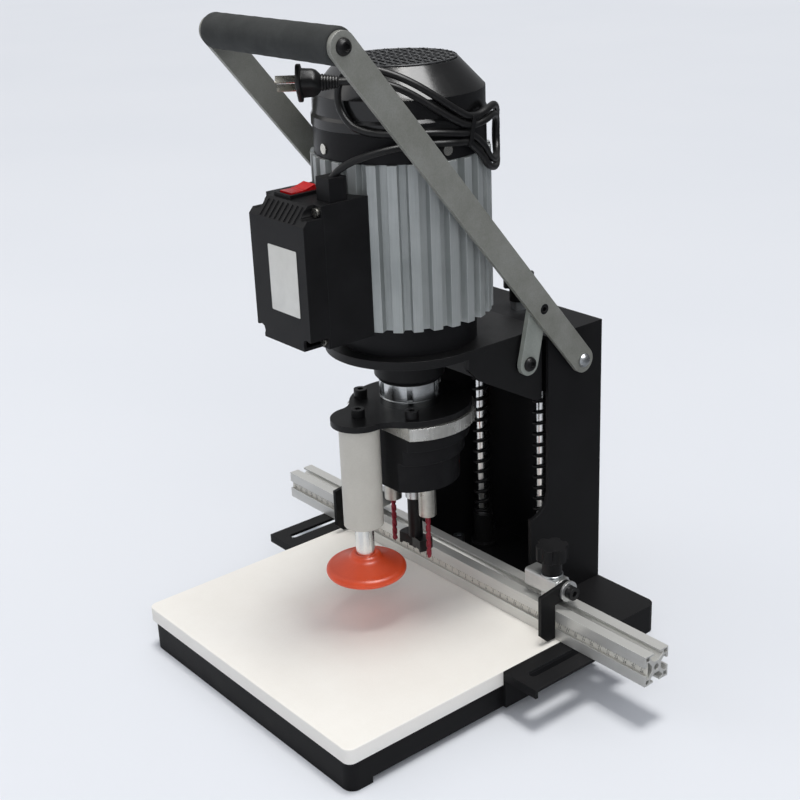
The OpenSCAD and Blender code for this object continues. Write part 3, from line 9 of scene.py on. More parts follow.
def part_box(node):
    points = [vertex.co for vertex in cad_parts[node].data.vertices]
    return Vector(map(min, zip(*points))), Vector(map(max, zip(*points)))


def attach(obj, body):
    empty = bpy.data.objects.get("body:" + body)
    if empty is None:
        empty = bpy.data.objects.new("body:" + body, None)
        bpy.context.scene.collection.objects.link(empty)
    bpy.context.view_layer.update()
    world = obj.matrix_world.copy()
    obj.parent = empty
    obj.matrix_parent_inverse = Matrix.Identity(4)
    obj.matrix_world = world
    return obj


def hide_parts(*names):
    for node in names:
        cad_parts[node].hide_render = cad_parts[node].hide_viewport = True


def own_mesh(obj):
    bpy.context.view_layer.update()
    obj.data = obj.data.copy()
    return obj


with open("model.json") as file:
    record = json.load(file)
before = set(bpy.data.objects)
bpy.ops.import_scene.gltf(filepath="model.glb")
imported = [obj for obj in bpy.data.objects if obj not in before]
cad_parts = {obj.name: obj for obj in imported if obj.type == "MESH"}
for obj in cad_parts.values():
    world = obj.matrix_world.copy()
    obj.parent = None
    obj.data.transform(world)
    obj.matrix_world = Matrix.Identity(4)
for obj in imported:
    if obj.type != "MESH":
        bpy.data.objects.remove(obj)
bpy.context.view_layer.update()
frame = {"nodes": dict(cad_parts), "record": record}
nodes = frame["nodes"]
mm = 0.001
print("frame loaded:", len(nodes), "nodes")


# small helpers
def linear(hexColour):
    values = [int(hexColour[i:i + 2], 16) / 255 for i in (1, 3, 5)]
    levels = [v / 12.92 if v <= 0.04045 else ((v + 0.055) / 1.055) ** 2.4 for v in values]
    return (*levels, 1.0)


def put(tree, kind, settings=None, **sockets):
    # adds one node; a socket is named by its label with _ for a blank, or by i0, i1 ... for its place
    node = tree.nodes.new(kind)
    for key, value in (settings or {}).items():
        setattr(node, key, value)
    for key, value in sockets.items():
        place = int(key[1:]) if key[0] == "i" and key[1:].isdigit() else key.replace("_", " ")
        socket = node.inputs[place]
        if isinstance(value, bpy.types.NodeSocket):
            tree.links.new(value, socket)
        else:
            socket.default_value = value
    return node


def meshPiece(name, mesh, body, finish):
    piece = bpy.data.objects.new(name, mesh)
    bpy.context.scene.collection.objects.link(piece)
    mesh.materials.clear()
    mesh.materials.append(finish)
    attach(piece, body)
    return piece


def loft(name, rings, closedEnds=True):
    # a skin over rings of equal count, with its ends filled
    mesh = bpy.data.meshes.new(name)
    count = len(rings[0])
    points = [p for ring in rings for p in ring]
    faces = []
    for i in range(len(rings) - 1):
        near, far = i * count, (i + 1) * count
        for k in range(count):
            after = (k + 1) % count
            faces.append((near + k, near + after, far + after, far + k))
    if closedEnds:
        faces.append(tuple(reversed(range(count))))
        faces.append(tuple((len(rings) - 1) * count + k for k in range(count)))
    mesh.from_pydata(points, [], faces)
    shape = bmesh.new()
    shape.from_mesh(mesh)
    bmesh.ops.remove_doubles(shape, verts=shape.verts, dist=1e-7)
    bmesh.ops.recalc_face_normals(shape, faces=shape.faces)
    shape.to_mesh(mesh)
    shape.free()
    return mesh


def smoothShade(mesh, angle=35):
    mesh.shade_smooth()
    mesh.set_sharp_from_angle(angle=math.radians(angle))
    return mesh


def roundRect(width, depth, radius, steps):
    points = []
    for cornerX, cornerY, start in ((1, 1, 0), (-1, 1, 90), (-1, -1, 180), (1, -1, 270)):
        for i in range(steps + 1):
            a = math.radians(start + 90 * i / steps)
            points.append((cornerX * (width / 2 - radius) + radius * math.cos(a),
                           cornerY * (depth / 2 - radius) + radius * math.sin(a)))
    return points


def quarterRound(size, parts=4):
    # rows of how far in and how far up, from the flat face to the side
    angles = [math.pi / 2 * i / parts for i in range(parts + 1)]
    return [(size * (1 - math.sin(a)), size * (1 - math.cos(a))) for a in angles]


def turned(name, profile, place, steps=64):
    # a lathe form: profile of (radius, height) pairs, place takes it from the Z axis to its seat
    leastRadius = 1e-5  # a ring on the axis is drawn this small, and loft merges it into one point
    angles = [2 * math.pi * k / steps for k in range(steps)]
    rings = []
    for radius, height in profile:
        radius = max(radius, leastRadius)
        rings.append([place @ Vector((radius * math.cos(a), radius * math.sin(a), height)) for a in angles])
    return loft(name, rings)


# Geometry Nodes trees
def newTree(name, inputs):
    tree = bpy.data.node_groups.new(name, "GeometryNodeTree")
    tree.interface.new_socket(name="Geometry", in_out="INPUT", socket_type="NodeSocketGeometry")
    for label, kind in inputs:
        tree.interface.new_socket(name=label, in_out="INPUT", socket_type=kind)
    tree.interface.new_socket(name="Geometry", in_out="OUTPUT", socket_type="NodeSocketGeometry")
    return tree, put(tree, "NodeGroupInput").outputs


def closeTree(tree, geometry, finish):
    real = put(tree, "GeometryNodeRealizeInstances", i0=geometry)
    painted = put(tree, "GeometryNodeSetMaterial", Geometry=real.outputs[0], Material=finish)
    put(tree, "NodeGroupOutput", i0=painted.outputs[0])


def makeTubeTree():
    # a round tube along every spline of the object's own curve
    tree, given = newTree("tubeAlongCurve", [("Radius", "NodeSocketFloat"), ("Sides", "NodeSocketInt"),
                                             ("Finish", "NodeSocketMaterial")])
    ring = put(tree, "GeometryNodeCurvePrimitiveCircle", Resolution=given["Sides"], Radius=given["Radius"])
    tube = put(tree, "GeometryNodeCurveToMesh", Curve=given["Geometry"], Profile_Curve=ring.outputs[0],
               Fill_Caps=True)
    smooth = put(tree, "GeometryNodeSetShadeSmooth", Geometry=tube.outputs[0])
    closeTree(tree, smooth.outputs[0], given["Finish"])
    return tree


def makeRowTree():
    # a row of equal blocks along X
    tree, given = newTree("rowOfMarks", [("Count", "NodeSocketInt"), ("First", "NodeSocketVector"),
                                         ("Step", "NodeSocketVector"), ("Size", "NodeSocketVector"),
                                         ("Finish", "NodeSocketMaterial")])
    line = put(tree, "GeometryNodeMeshLine", Count=given["Count"], Start_Location=given["First"],
               Offset=given["Step"])
    block = put(tree, "GeometryNodeMeshCube", Size=given["Size"])
    row = put(tree, "GeometryNodeInstanceOnPoints", Points=line.outputs[0], Instance=block.outputs[0])
    closeTree(tree, row.outputs[0], given["Finish"])
    return tree


def runTree(name, source, tree, values, body):
    # applies a tree to a source object and keeps the result as a plain mesh at the origin
    bpy.context.scene.collection.objects.link(source)
    modifier = source.modifiers.new("nodes", "NODES")
    modifier.node_group = tree
    for item in tree.interface.items_tree:
        if item.in_out == "INPUT" and item.name in values:
            modifier[item.identifier] = values[item.name]
    source.update_tag()
    bpy.context.view_layer.update()
    graph = bpy.context.evaluated_depsgraph_get()
    mesh = bpy.data.meshes.new_from_object(source.evaluated_get(graph), depsgraph=graph)
    source.modifiers.remove(modifier)
    bpy.data.objects.remove(source)
    mesh.name = name
    return meshPiece(name, mesh, body, values["Finish"])


def curveSource(name, lines):
    curve = bpy.data.curves.new(name, "CURVE")
    curve.dimensions = "3D"
    for line in lines:
        spline = curve.splines.new("POLY")
        spline.points.add(len(line) - 1)
        for point, place in zip(spline.points, line):
            point.co = (*place, 1)
    return bpy.data.objects.new(name, curve)


tubeTree = makeTubeTree()
rowTree = makeRowTree()

# camera, set at the photograph's angle
view = {"place": (0.9384, -0.7414, 0.7377), "turn": 51.395, "rise": 21.935, "roll": -2.461,
        "focus": 1380.83, "pixels": 800, "sensor": 36}
turn, rise, roll = (math.radians(view[k]) for k in ("turn", "rise", "roll"))
back = Vector((math.sin(turn) * math.cos(rise), -math.cos(turn) * math.cos(rise), math.sin(rise)))
right = Vector((math.cos(turn), math.sin(turn), 0))
up = back.cross(right)
axisX = math.cos(roll) * right + math.sin(roll) * up
axisY = -math.sin(roll) * right + math.cos(roll) * up
camera = bpy.data.objects.new("camera", bpy.data.cameras.new("camera"))
camera.data.sensor_width = view["sensor"]
camera.data.lens = view["focus"] * view["sensor"] / view["pixels"]
camera.data.clip_start, camera.data.clip_end = 0.01, 50
cameraTurn = Matrix((axisX, axisY, back)).transposed().to_4x4()
camera.matrix_world = Matrix.Translation(view["place"]) @ cameraTurn
bpy.context.scene.collection.objects.link(camera)
bpy.context.scene.camera = camera
print("camera set")

# finishes
# grain, smudge and edge sizes are in millimetres; a grain of under 0.8 mm would not show
finishes = {
    # powder coat over folded sheet: satin black, a faint orange peel, edges rubbed a little lighter
    "black_paint": dict(colour="#131314", other="#19191b", rough=(0.4, 0.54), grain=1.4, bump=0.03,
                        smudge=60, edge="#2b2b2d", edgeSize=0.8, specular=0.14),
    # the same coat on the carriage, a shade greyer and shinier
    "frame_paint": dict(colour="#161617", other="#1c1c1d", rough=(0.34, 0.46), grain=1.4, bump=0.03,
                        smudge=60, edge="#333335", edgeSize=0.8, specular=0.18),
    # melamine-faced board: warm white, almost plain, with a very slight cloudiness
    "board": dict(colour="#f3f1ed", other="#edeae5", rough=(0.34, 0.46), grain=1.2, bump=0.015, smudge=90,
                  specular=0.4),
    # zinc plate on bolts and washers: bright grey with a cool cast
    "zinc": dict(colour="#c3c6c8", other="#a9aeb2", metal=1.0, rough=(0.24, 0.4), grain=1.0, bump=0.02,
                 smudge=12),
    # black oxide on socket screws: deep black, greyer on the edges
    "black_screw": dict(colour="#151516", other="#1e1e1f", metal=0.3, rough=(0.3, 0.42), grain=0.8,
                        bump=0.02, smudge=10, edge="#414142", edgeSize=0.4, specular=0.3),
    # hard chrome on the guide rods: near white where it mirrors the light side
    "rod_chrome": dict(colour="#eceded", other="#e0e2e3", metal=1.0, rough=(0.16, 0.26), grain=0.8,
                       stretch=(1, 1, 0.05), bump=0.01, smudge=30),
    # oil-blacked spring wire: dull black with a soft line of light on each turn
    "spring_steel": dict(colour="#101011", other="#1a1a1b", metal=0.3, rough=(0.36, 0.5), grain=1.0,
                         bump=0.02, smudge=8, specular=0.25),
    # extruded anodised aluminium: fine die lines along X
    "extrusion": dict(colour="#d6d6d3", other="#c8c8c5", metal=0.5, rough=(0.28, 0.42), grain=0.8,
                      stretch=(0.01, 1, 1), bump=0.05, smudge=80, edge="#ebecec", edgeSize=0.5),
    # printed steel tape: off-white
    "scale_tape": dict(colour="#d6d4cc", other="#cac8c0", rough=(0.35, 0.45), grain=0.8, bump=0.01,
                       smudge=20),
    # bright machined aluminium of the stop bars and washers: pale, with light edges
    "stop_alloy": dict(colour="#d2d3d2", other="#bfc1c1", metal=0.85, rough=(0.26, 0.4), grain=0.8,
                       stretch=(0.05, 1, 1), bump=0.03, smudge=20, edge="#eeeeee", edgeSize=0.5),
    # moulded ABS with a spark-eroded texture: an even satin black
    "black_plastic": dict(colour="#121213", other="#18181a", rough=(0.4, 0.54), grain=0.9, bump=0.06,
                          smudge=40, edge="#262628", edgeSize=0.6, specular=0.16),
    # stove enamel on the pressed fan cover: gloss black that mirrors the lamps softly
    "gloss_black": dict(colour="#0e0e0f", other="#131314", rough=(0.16, 0.26), grain=1.6, bump=0.02,
                        smudge=50, edge="#2c2c2e", edgeSize=0.8),
    # sintered bronze bushes: warm brown metal, a little dull
    "bronze": dict(colour="#a57b42", other="#8f6a37", metal=1.0, rough=(0.35, 0.5), grain=0.8, bump=0.04,
                   smudge=10),
    # painted castings at both ends of the motor: satin black with a sand texture
    "cast_black": dict(colour="#131315", other="#1a1a1c", rough=(0.32, 0.46), grain=1.8, bump=0.06,
                       smudge=40, edge="#2a2a2c", edgeSize=0.8, specular=0.14),
    # extruded finned aluminium, matt, with draw lines along Z
    "fin_alloy": dict(colour="#b0b4b4", other="#999e9e", metal=0.5, rough=(0.4, 0.54), grain=0.9,
                      stretch=(1, 1, 0.02), bump=0.06, smudge=70, edge="#cfd2d2", edgeSize=0.7),
    # varnished winding and lamination stack: copper brown
    "winding": dict(colour="#8a5a3c", other="#6f452c", metal=0.4, rough=(0.4, 0.6), grain=1.0, bump=0.08,
                    smudge=10),
    # ground bearing steel: clear cool grey
    "bearing": dict(colour="#b8bbbd", other="#a4a8aa", metal=1.0, rough=(0.18, 0.3), grain=0.8, bump=0.02,
                    smudge=10),
    # nickelled pan-head screws, a little warm
    "screw_gilt": dict(colour="#dcdad2", other="#c9c6bc", metal=1.0, rough=(0.2, 0.34), grain=0.8,
                       bump=0.02, smudge=6),
    # soft PVC sheath, slightly shiny
    "cord_rubber": dict(colour="#101011", other="#171718", rough=(0.3, 0.42), grain=1.2, bump=0.03,
                        smudge=14, specular=0.35),
    # nickelled brass blades: pale silver with a warm cast
    "blade_brass": dict(colour="#dedbd0", other="#cbc7ba", metal=1.0, rough=(0.2, 0.34), grain=0.8,
                        bump=0.02, smudge=8),
    # bright machined steel flange: soft pale and darker upright bands round its edge, a painted reflection
    "flange_steel": dict(colour="#dddcd7", other="#b4b3ae", metal=0.8, rough=(0.22, 0.34), grain=3.0,
                         stretch=(1, 1, 0.03), bump=0.01, smudge=20, edge="#f0f0ee", edgeSize=0.4),
    # polished collar nut: sharp bright and dark bands
    "collar_chrome": dict(colour="#d0d2d2", other="#b6b9ba", metal=1.0, rough=(0.14, 0.26), grain=0.8,
                          stretch=(0.1, 0.1, 1), bump=0.02, smudge=14, edge="#f0f0f0", edgeSize=0.4),
    # light grey enamel on the hold-down cylinder: warm, with a soft highlight
    "cylinder_paint": dict(colour="#c8c5bd", other="#bebbb3", rough=(0.3, 0.42), grain=1.4, bump=0.03,
                           smudge=30, edge="#d9d6cf", edgeSize=1.4),
    # ground shafts: bright grey with fine lines along Z
    "shaft_steel": dict(colour="#d2d4d5", other="#bfc2c4", metal=1.0, rough=(0.16, 0.28), grain=0.8,
                        stretch=(1, 1, 0.05), bump=0.02, smudge=12),
    # turned spindle noses, warm grey
    "spindle_steel": dict(colour="#c6c4bd", other="#b0aea8", metal=0.9, rough=(0.26, 0.4), grain=0.8,
                          stretch=(0.2, 0.2, 1), bump=0.03, smudge=12, edge="#e6e4e0", edgeSize=0.3),
    # glass-filled nylon: dull dark grey
    "fan_plastic": dict(colour="#2a2c2e", other="#222426", rough=(0.45, 0.6), grain=1.0, bump=0.04,
                        smudge=20, specular=0.25),
    # blacked cutter body: black with greyer cutting edges
    "cutter": dict(colour="#141415", other="#1f1f20", metal=0.3, rough=(0.32, 0.46), grain=0.9, bump=0.04,
                   smudge=10, edge="#4c4c4d", edgeSize=0.35, specular=0.25),
    # red lacquer on the side drills: dark red, paler on the edges of the flutes
    "drill_red": dict(colour="#8f2434", other="#7a1c2b", metal=0.3, rough=(0.28, 0.4), grain=0.9, bump=0.03,
                      smudge=8, edge="#c0606c", edgeSize=0.25),
    # moulded polyurethane pressure foot, semi-matt orange red
    "foot_red": dict(colour="#ea5224", other="#de4a1f", rough=(0.3, 0.42), grain=1.3, bump=0.03, smudge=30,
                     edge="#e4593a", edgeSize=1.0),
    # translucent polycarbonate rocker, seen as bright red
    "rocker_red": dict(colour="#d0141a", other="#bb1016", rough=(0.18, 0.28), grain=1.0, bump=0.01,
                       smudge=12),
    # hot-rolled strip with a matt clear coat: grey, mottled, with light cut edges
    "arm_steel": dict(colour="#8f908b", other="#777871", metal=0.25, rough=(0.42, 0.58), grain=1.2,
                      bump=0.05, smudge=35, edge="#b4b5b0", edgeSize=0.8),
    # the same strip on the links, a little cooler
    "link_steel": dict(colour="#a0a49e", other="#8b908a", metal=0.25, rough=(0.38, 0.52), grain=1.0,
                       bump=0.04, smudge=25, edge="#b9beb9", edgeSize=0.8),
    # closed-cell foam sleeve: matt, finely pitted
    "foam": dict(colour="#3a3c3c", other="#303232", rough=(0.72, 0.86), grain=0.9, bump=0.22, smudge=25,
                 specular=0.2),
}


def makeFinish(name, colour, other, rough, grain, bump, smudge, metal=0.0, stretch=(1, 1, 1), edge=None,
               edgeSize=0.5, specular=0.5):
    fineShare = 0.45  # how far the fine grain joins the broad smudges in colour and roughness
    material = bpy.data.materials.new(name)
    material.use_nodes = True
    tree = material.node_tree
    tree.nodes.clear()
    where = put(tree, "ShaderNodeTexCoord").outputs["Object"]
    along = put(tree, "ShaderNodeMapping", Vector=where, Scale=stretch).outputs[0]
    fine = put(tree, "ShaderNodeTexNoise", Vector=along, Scale=1 / (grain * mm), Detail=3.0, Roughness=0.55)
    broad = put(tree, "ShaderNodeTexNoise", Vector=where, Scale=1 / (smudge * mm), Detail=4.0, Roughness=0.6)
    blend = put(tree, "ShaderNodeMath", {"operation": "MULTIPLY_ADD"}, i0=fine.outputs[0], i1=fineShare,
                i2=broad.outputs[0])
    share = put(tree, "ShaderNodeMapRange", Value=blend.outputs[0], From_Min=0.5, From_Max=0.95)
    tint = put(tree, "ShaderNodeMix", {"data_type": "RGBA"}, Factor=share.outputs[0], i6=linear(colour),
               i7=linear(other))
    paint = tint.outputs[2]
    if edge:
        # corners where the rounded normal leaves the face normal are rubbed lighter
        bevel = put(tree, "ShaderNodeBevel", {"samples": 4}, Radius=edgeSize * mm)
        face = put(tree, "ShaderNodeNewGeometry").outputs["Normal"]
        lean = put(tree, "ShaderNodeVectorMath", {"operation": "DOT_PRODUCT"}, i0=bevel.outputs[0], i1=face)
        worn = put(tree, "ShaderNodeMapRange", Value=lean.outputs["Value"], From_Min=0.98, From_Max=0.8,
                   To_Max=0.75)
        rubbed = put(tree, "ShaderNodeMix", {"data_type": "RGBA"}, Factor=worn.outputs[0], i6=paint,
                     i7=linear(edge))
        paint = rubbed.outputs[2]
    dull = put(tree, "ShaderNodeMapRange", Value=share.outputs[0], To_Min=rough[0], To_Max=rough[1])
    relief = put(tree, "ShaderNodeBump", Strength=1.0, Distance=bump * mm, Height=fine.outputs[0])
    if edge:
        tree.links.new(bevel.outputs[0], relief.inputs["Normal"])
    shader = put(tree, "ShaderNodeBsdfPrincipled", Base_Color=paint, Roughness=dull.outputs[0],
                 Metallic=metal, Normal=relief.outputs[0], Specular_IOR_Level=specular)
    put(tree, "ShaderNodeOutputMaterial", Surface=shader.outputs[0])
    return material


finish = {name: makeFinish(name, **recipe) for name, recipe in finishes.items()}
for row in frame["record"]["subparts"]:
    nodes[row["node"]].data.materials.clear()
    nodes[row["node"]].data.materials.append(finish[row["material_slot"]])
print("finishes made:", len(finish))

# mains cord: out of the switch box, round the motor as a tied hank, to its plug
cordSizes = {"diameter": 6.2, "step": 6.9, "ring": 80.7, "axisY": 20.5, "height": 510, "from": 126,
             "waist": 40, "low": 2, "high": 134, "fold": 18.6, "wide": 0.24, "runIn": 50, "leadOut": 100,
             "cross": 14, "liftFrom": 10, "liftBy": 0.1, "rise": 30, "riseFrom": 20, "riseOver": 130,
             "climb": 0.05, "droop": 0.25, "bulge": 3.6, "bulgeFrom": 38, "bulgeOver": 18, "layerGap": 0.8,
             "spacing": 11, "foldParts": 8, "smoothParts": 4, "sides": 14}
c = cordSizes


def ease(t):
    t = min(1, max(0, t))
    return t * t * (3 - 2 * t)


def strand(s, k):
    end = c["low"] if s < c["waist"] else c["high"]
    opening = (s - c["waist"]) / (end - c["waist"])
    step = c["step"] * (1 + c["wide"] * 4 * opening * (1 - opening))
    return k * step + math.copysign(c["fold"] - c["step"] / 2, k) * ease(opening)


def hankRise(s):
    droop = c["droop"] * (c["waist"] - s) ** 2 / c["waist"] if s < c["waist"] else 0
    return c["rise"] * ease((s - c["riseFrom"]) / c["riseOver"]) + c["climb"] * s - droop


def hankFrame(s):
    lean = math.atan((hankRise(s + 1) - hankRise(s - 1)) / 2)
    return lean, c["ring"] + c["bulge"] * ease((c["bulgeFrom"] - s) / c["bulgeOver"])


def hankPoint(s, v, layer=0):
    lean, radius = hankFrame(s)
    radius += layer * (c["diameter"] + c["layerGap"])
    a = math.radians(c["from"]) - (s - v * math.sin(lean)) / c["ring"]
    return Vector((radius * math.sin(a), c["axisY"] - radius * math.cos(a),
                   c["height"] + hankRise(s) + v * math.cos(lean)))


def hankFold(s, k0, k1, way):
    v0, v1 = strand(s, k0), strand(s, k1)
    middle, radius = (v0 + v1) / 2, abs(v1 - v0) / 2
    angles = [math.pi * i / c["foldParts"] for i in range(1, c["foldParts"])]
    return [hankPoint(s + way * radius * math.sin(a), middle + (v0 - middle) * math.cos(a)) for a in angles]


def hankRun(s0, s1, k0, k1):
    count = math.ceil(abs(s1 - s0) / c["spacing"])
    points = []
    for i in range(count + 1):
        f = i / count
        s = s0 + (s1 - s0) * f
        points.append(hankPoint(s, strand(s, k0) + (strand(s, k1) - strand(s, k0)) * ease(f)))
    return points


# the four strands lie at -1.5, -0.5, 0.5 and 1.5 steps from the hank's middle line
hankLoops = (hankRun(c["runIn"], c["low"], -1.5, -1.5) + hankFold(c["low"], -1.5, 1.5, -1)
             + hankRun(c["low"], c["high"], 1.5, 1.5) + hankFold(c["high"], 1.5, -1.5, 1)
             + hankRun(c["high"], c["runIn"] + c["cross"], -1.5, -0.5)
             + hankRun(c["runIn"], c["low"], -0.5, -0.5) + hankFold(c["low"], -0.5, 0.5, -1)
             + hankRun(c["low"], c["leadOut"] - c["liftFrom"], 0.5, 0.5)
             + [hankPoint(c["leadOut"], strand(c["leadOut"], 0.5), c["liftBy"])])
startWay = (hankLoops[1] - hankLoops[0]).normalized()
plugAt = Vector((37, -70, 562.5))
entrySizes = {"mouth": Vector((29.8, -75.7, 486)), "lean": math.radians(45), "yaw": math.radians(49),
              "bore": 80 / 13, "stub": 5.5}
entryWay = Vector((math.sin(entrySizes["lean"]) * math.cos(entrySizes["yaw"]),
                   math.sin(entrySizes["lean"]) * math.sin(entrySizes["yaw"]), math.cos(entrySizes["lean"])))
cordRoute = [entrySizes["mouth"] - entrySizes["bore"] * entryWay,
             entrySizes["mouth"] + entrySizes["stub"] * entryWay]
cordRoute += [Vector(p) for p in (
    (35.7, -69, 493.4), (39.8, -64.3, 496.6), (45.2, -58, 499.8), (52, -49.8, 502.9), (58.8, -40, 505.4),
    (65.3, -28.8, 507), (71.3, -16.8, 507.6), (76.2, -4.6, 507.4), (79.6, 4.6, 506.8))]
cordRoute += [hankLoops[0] - c["diameter"] * startWay] + hankLoops
cordRoute += [Vector(p) for p in (
    (64.7, -31.8, 555.1), (59.3, -40.9, 559), (53.9, -49.1, 561.2), (48.8, -56, 562.2), (44.4, -61.4, 562.5),
    (41.1, -65.3, 562.5))] + [plugAt]


def smoothLine(points, parts):
    # a curve through every point, with its tangents from the neighbours' distances
    line = []
    for i in range(len(points) - 1):
        p0, p1, p2, p3 = (points[max(0, min(len(points) - 1, i + k))] for k in (-1, 0, 1, 2))
        reach = (p2 - p1).length
        m1 = (p2 - p0).normalized() * reach
        m2 = (p3 - p1).normalized() * reach
        for j in range(parts):
            t = j / parts
            line.append((2 * t ** 3 - 3 * t * t + 1) * p1 + (t ** 3 - 2 * t * t + t) * m1
                        + (3 * t * t - 2 * t ** 3) * p2 + (t ** 3 - t * t) * m2)
    return line + [points[-1]]


cordLine = [p * mm for p in smoothLine(cordRoute, c["smoothParts"])]
cord = runTree("mains_cord", curveSource("cordCurve", [cordLine]), tubeTree,
               {"Radius": c["diameter"] / 2 * mm, "Sides": c["sides"], "Finish": finish["cord_rubber"]},
               "carriage")
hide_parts("cord_run", "cord_hank")

# moulded plug: flange, body and a ribbed tail, drawn up its own axis
# a row of "body" is height, width, depth and corner radius
# a row of "ribForm" is a share of the pitch, and 1 where the rib is out or -1 where it is in
plugSizes = {"yaw": math.radians(49), "roll": math.radians(-40), "length": 34, "ribs": 6, "rib": 0.7,
             "ribFrom": 19.5, "ribPitch": 2.3, "tail": 6.6, "taper": 2 / 14, "end": 9, "endCorner": 4.4,
             "round": 0.99, "ribForm": ((0, -1), (0.25, 1), (0.7, 1), (0.95, -1)),
             "body": ((0, 20.6, 32.6, 7.3), (0.5, 21.6, 33.6, 7.8), (1, 22, 34, 8), (3, 22, 34, 8),
                      (3.6, 21.6, 33.6, 7.8), (4, 20.6, 32.6, 7.3), (4.2, 17.6, 27, 6.3), (5, 17, 26, 6),
                      (13, 16.4, 25, 6), (16, 15.4, 22, 6), (18, 13.8, 17, 6.2), (19, 12.6, 13.6, 6))}
q = plugSizes
plugWay = Vector((math.cos(q["yaw"]), math.sin(q["yaw"]), 0))
plugSeat = (Matrix.Translation(plugAt - q["length"] * plugWay) @ Matrix.Rotation(q["yaw"], 4, "Z")
            @ Matrix.Rotation(math.radians(90), 4, "Y") @ Matrix.Rotation(q["roll"], 4, "Z"))


def plugRing(height, width, depth, radius):
    return [(plugSeat @ Vector((x, y, height))) * mm for x, y in roundRect(width, depth, radius, 7)]


plugRings = [plugRing(*row) for row in q["body"]]
for i in range(q["ribs"]):
    for part, swell in q["ribForm"]:
        height = q["ribFrom"] + (i + part) * q["ribPitch"]
        radius = q["tail"] - q["taper"] * (height - q["ribFrom"]) + swell * q["rib"] / 2
        plugRings.append(plugRing(height, 2 * radius, 2 * radius, radius * q["round"]))
plugRings.append(plugRing(q["length"], q["end"], q["end"], q["endCorner"]))
plug = meshPiece("plug_moulding", smoothShade(loft("plug_moulding", plugRings)), "carriage",
                 finish["cord_rubber"])
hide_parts("plug_body")

# tie: a flat band drawn round the four strands at the waist
tieSizes = {"width": 4.2, "thick": 0.5, "clear": 0.05, "round": 0.96}
halfR = c["diameter"] / 2 + tieSizes["clear"]
halfV = 1.5 * c["step"] + halfR
tieRings = []
for along in (-tieSizes["width"] / 2, tieSizes["width"] / 2):
    for grow in (0, tieSizes["thick"]):
        ring = []
        corner = halfR * tieSizes["round"] + grow
        for v, r in roundRect(2 * (halfV + grow), 2 * (halfR + grow), corner, 6):
            base = hankPoint(c["waist"] + along, v)
            out = Vector((base.x, base.y - c["axisY"], 0)).normalized()
            ring.append((base + out * r) * mm)
        tieRings.append(ring)
tieRings = [tieRings[i] for i in (0, 1, 3, 2, 0)]  # round the band's section and back
tie = meshPiece("cord_tie", smoothShade(loft("cord_tie", tieRings, closedEnds=False)), "carriage",
                finish["black_plastic"])
print("plug and tie made")

# return springs: closed end turns, open turns between, as wound
springSizes = {"wire": 2.6, "radius": 8.3, "turns": 14, "close": 3.2, "x": 44.5, "y": 150.5, "travel": 44}
wireSides = 10


def springLine(x, y, foot, top, radius, turns, close, perTurn=28):
    points = []
    pitch = (top - foot - 2 * close) / turns
    for i in range((turns + 2) * perTurn + 1):
        t = i / perTurn
        if t < 1:
            z = foot + close * t
        elif t > turns + 1:
            z = top - close * (turns + 2 - t)
        else:
            z = foot + close + pitch * (t - 1)
        a = 2 * math.pi * t
        points.append(Vector((x + radius * math.cos(a), y + radius * math.sin(a), z)) * mm)
    return points


s = springSizes
low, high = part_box("return_springs")
foot, top = low.z / mm + s["wire"] / 2, high.z / mm - s["wire"] / 2
lines = [springLine(x, s["y"], foot, top, s["radius"], s["turns"], s["close"]) for x in (-s["x"], s["x"])]
coils = runTree("guide_springs", curveSource("springCurve", lines), tubeTree,
                {"Radius": s["wire"] / 2 * mm, "Sides": wireSides, "Finish": finish["spring_steel"]}, "base")
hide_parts("return_springs")
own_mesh(coils)

# inner spring of the hold-down, in its cylinder
holdSizes = {"wire": 2.4, "inset": 1.3, "turns": 7, "close": 2.9, "travel": 28, "least": 0.3}
s = holdSizes
low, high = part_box("clamp_spring")
centre, radius = (low + high) / 2 / mm, (high.x - low.x) / 2 / mm - s["inset"]
foot, top = low.z / mm + s["wire"] / 2, high.z / mm - s["wire"] / 2
lines = [springLine(centre.x, centre.y, foot, top, radius, s["turns"], s["close"])]
holdCoil = runTree("hold_down_spring", curveSource("holdCurve", lines), tubeTree,
                   {"Radius": s["wire"] / 2 * mm, "Sides": wireSides, "Finish": finish["spring_steel"]},
                   "carriage")
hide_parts("clamp_spring")
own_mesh(holdCoil)
print("springs made")

# worktop board with eased edges
low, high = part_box("worktop")
boardSizes = {"corner": 8, "ease": 0.9}
width, depth, thick = ((high[k] - low[k]) / mm for k in range(3))
middleX, middleY = (low.x + high.x) / 2, (low.y + high.y) / 2
eased = quarterRound(boardSizes["ease"])
boardRings = []
for inset, lift in eased + [(i, thick - u) for i, u in reversed(eased)]:
    outline = roundRect(width - 2 * inset, depth - 2 * inset, boardSizes["corner"] - inset, 8)
    boardRings.append([Vector((x * mm + middleX, y * mm + middleY, low.z + lift * mm)) for x, y in outline])
board = meshPiece("worktop_board", smoothShade(loft("worktop_board", boardRings), 50), "base",
                  finish["board"])
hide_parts("worktop")
print("board made")

# scale on the fence: ticks and plain centimetre numbers on the tape
# a row of "marks" is name, pitch and height
scaleSizes = {"top": 64.2, "thin": 0.28, "wider": 0.02, "depth": 0.06, "half": 264, "numberHeight": 3.0,
              "fontShare": 1.4, "numberZ": 56.9, "lastNumber": 26, "numberStep": 10,
              "marks": (("ticks_1mm", 1, 2.2), ("ticks_5mm", 5, 3.2), ("ticks_10mm", 10, 4.2))}
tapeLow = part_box("fence_scale")[0]
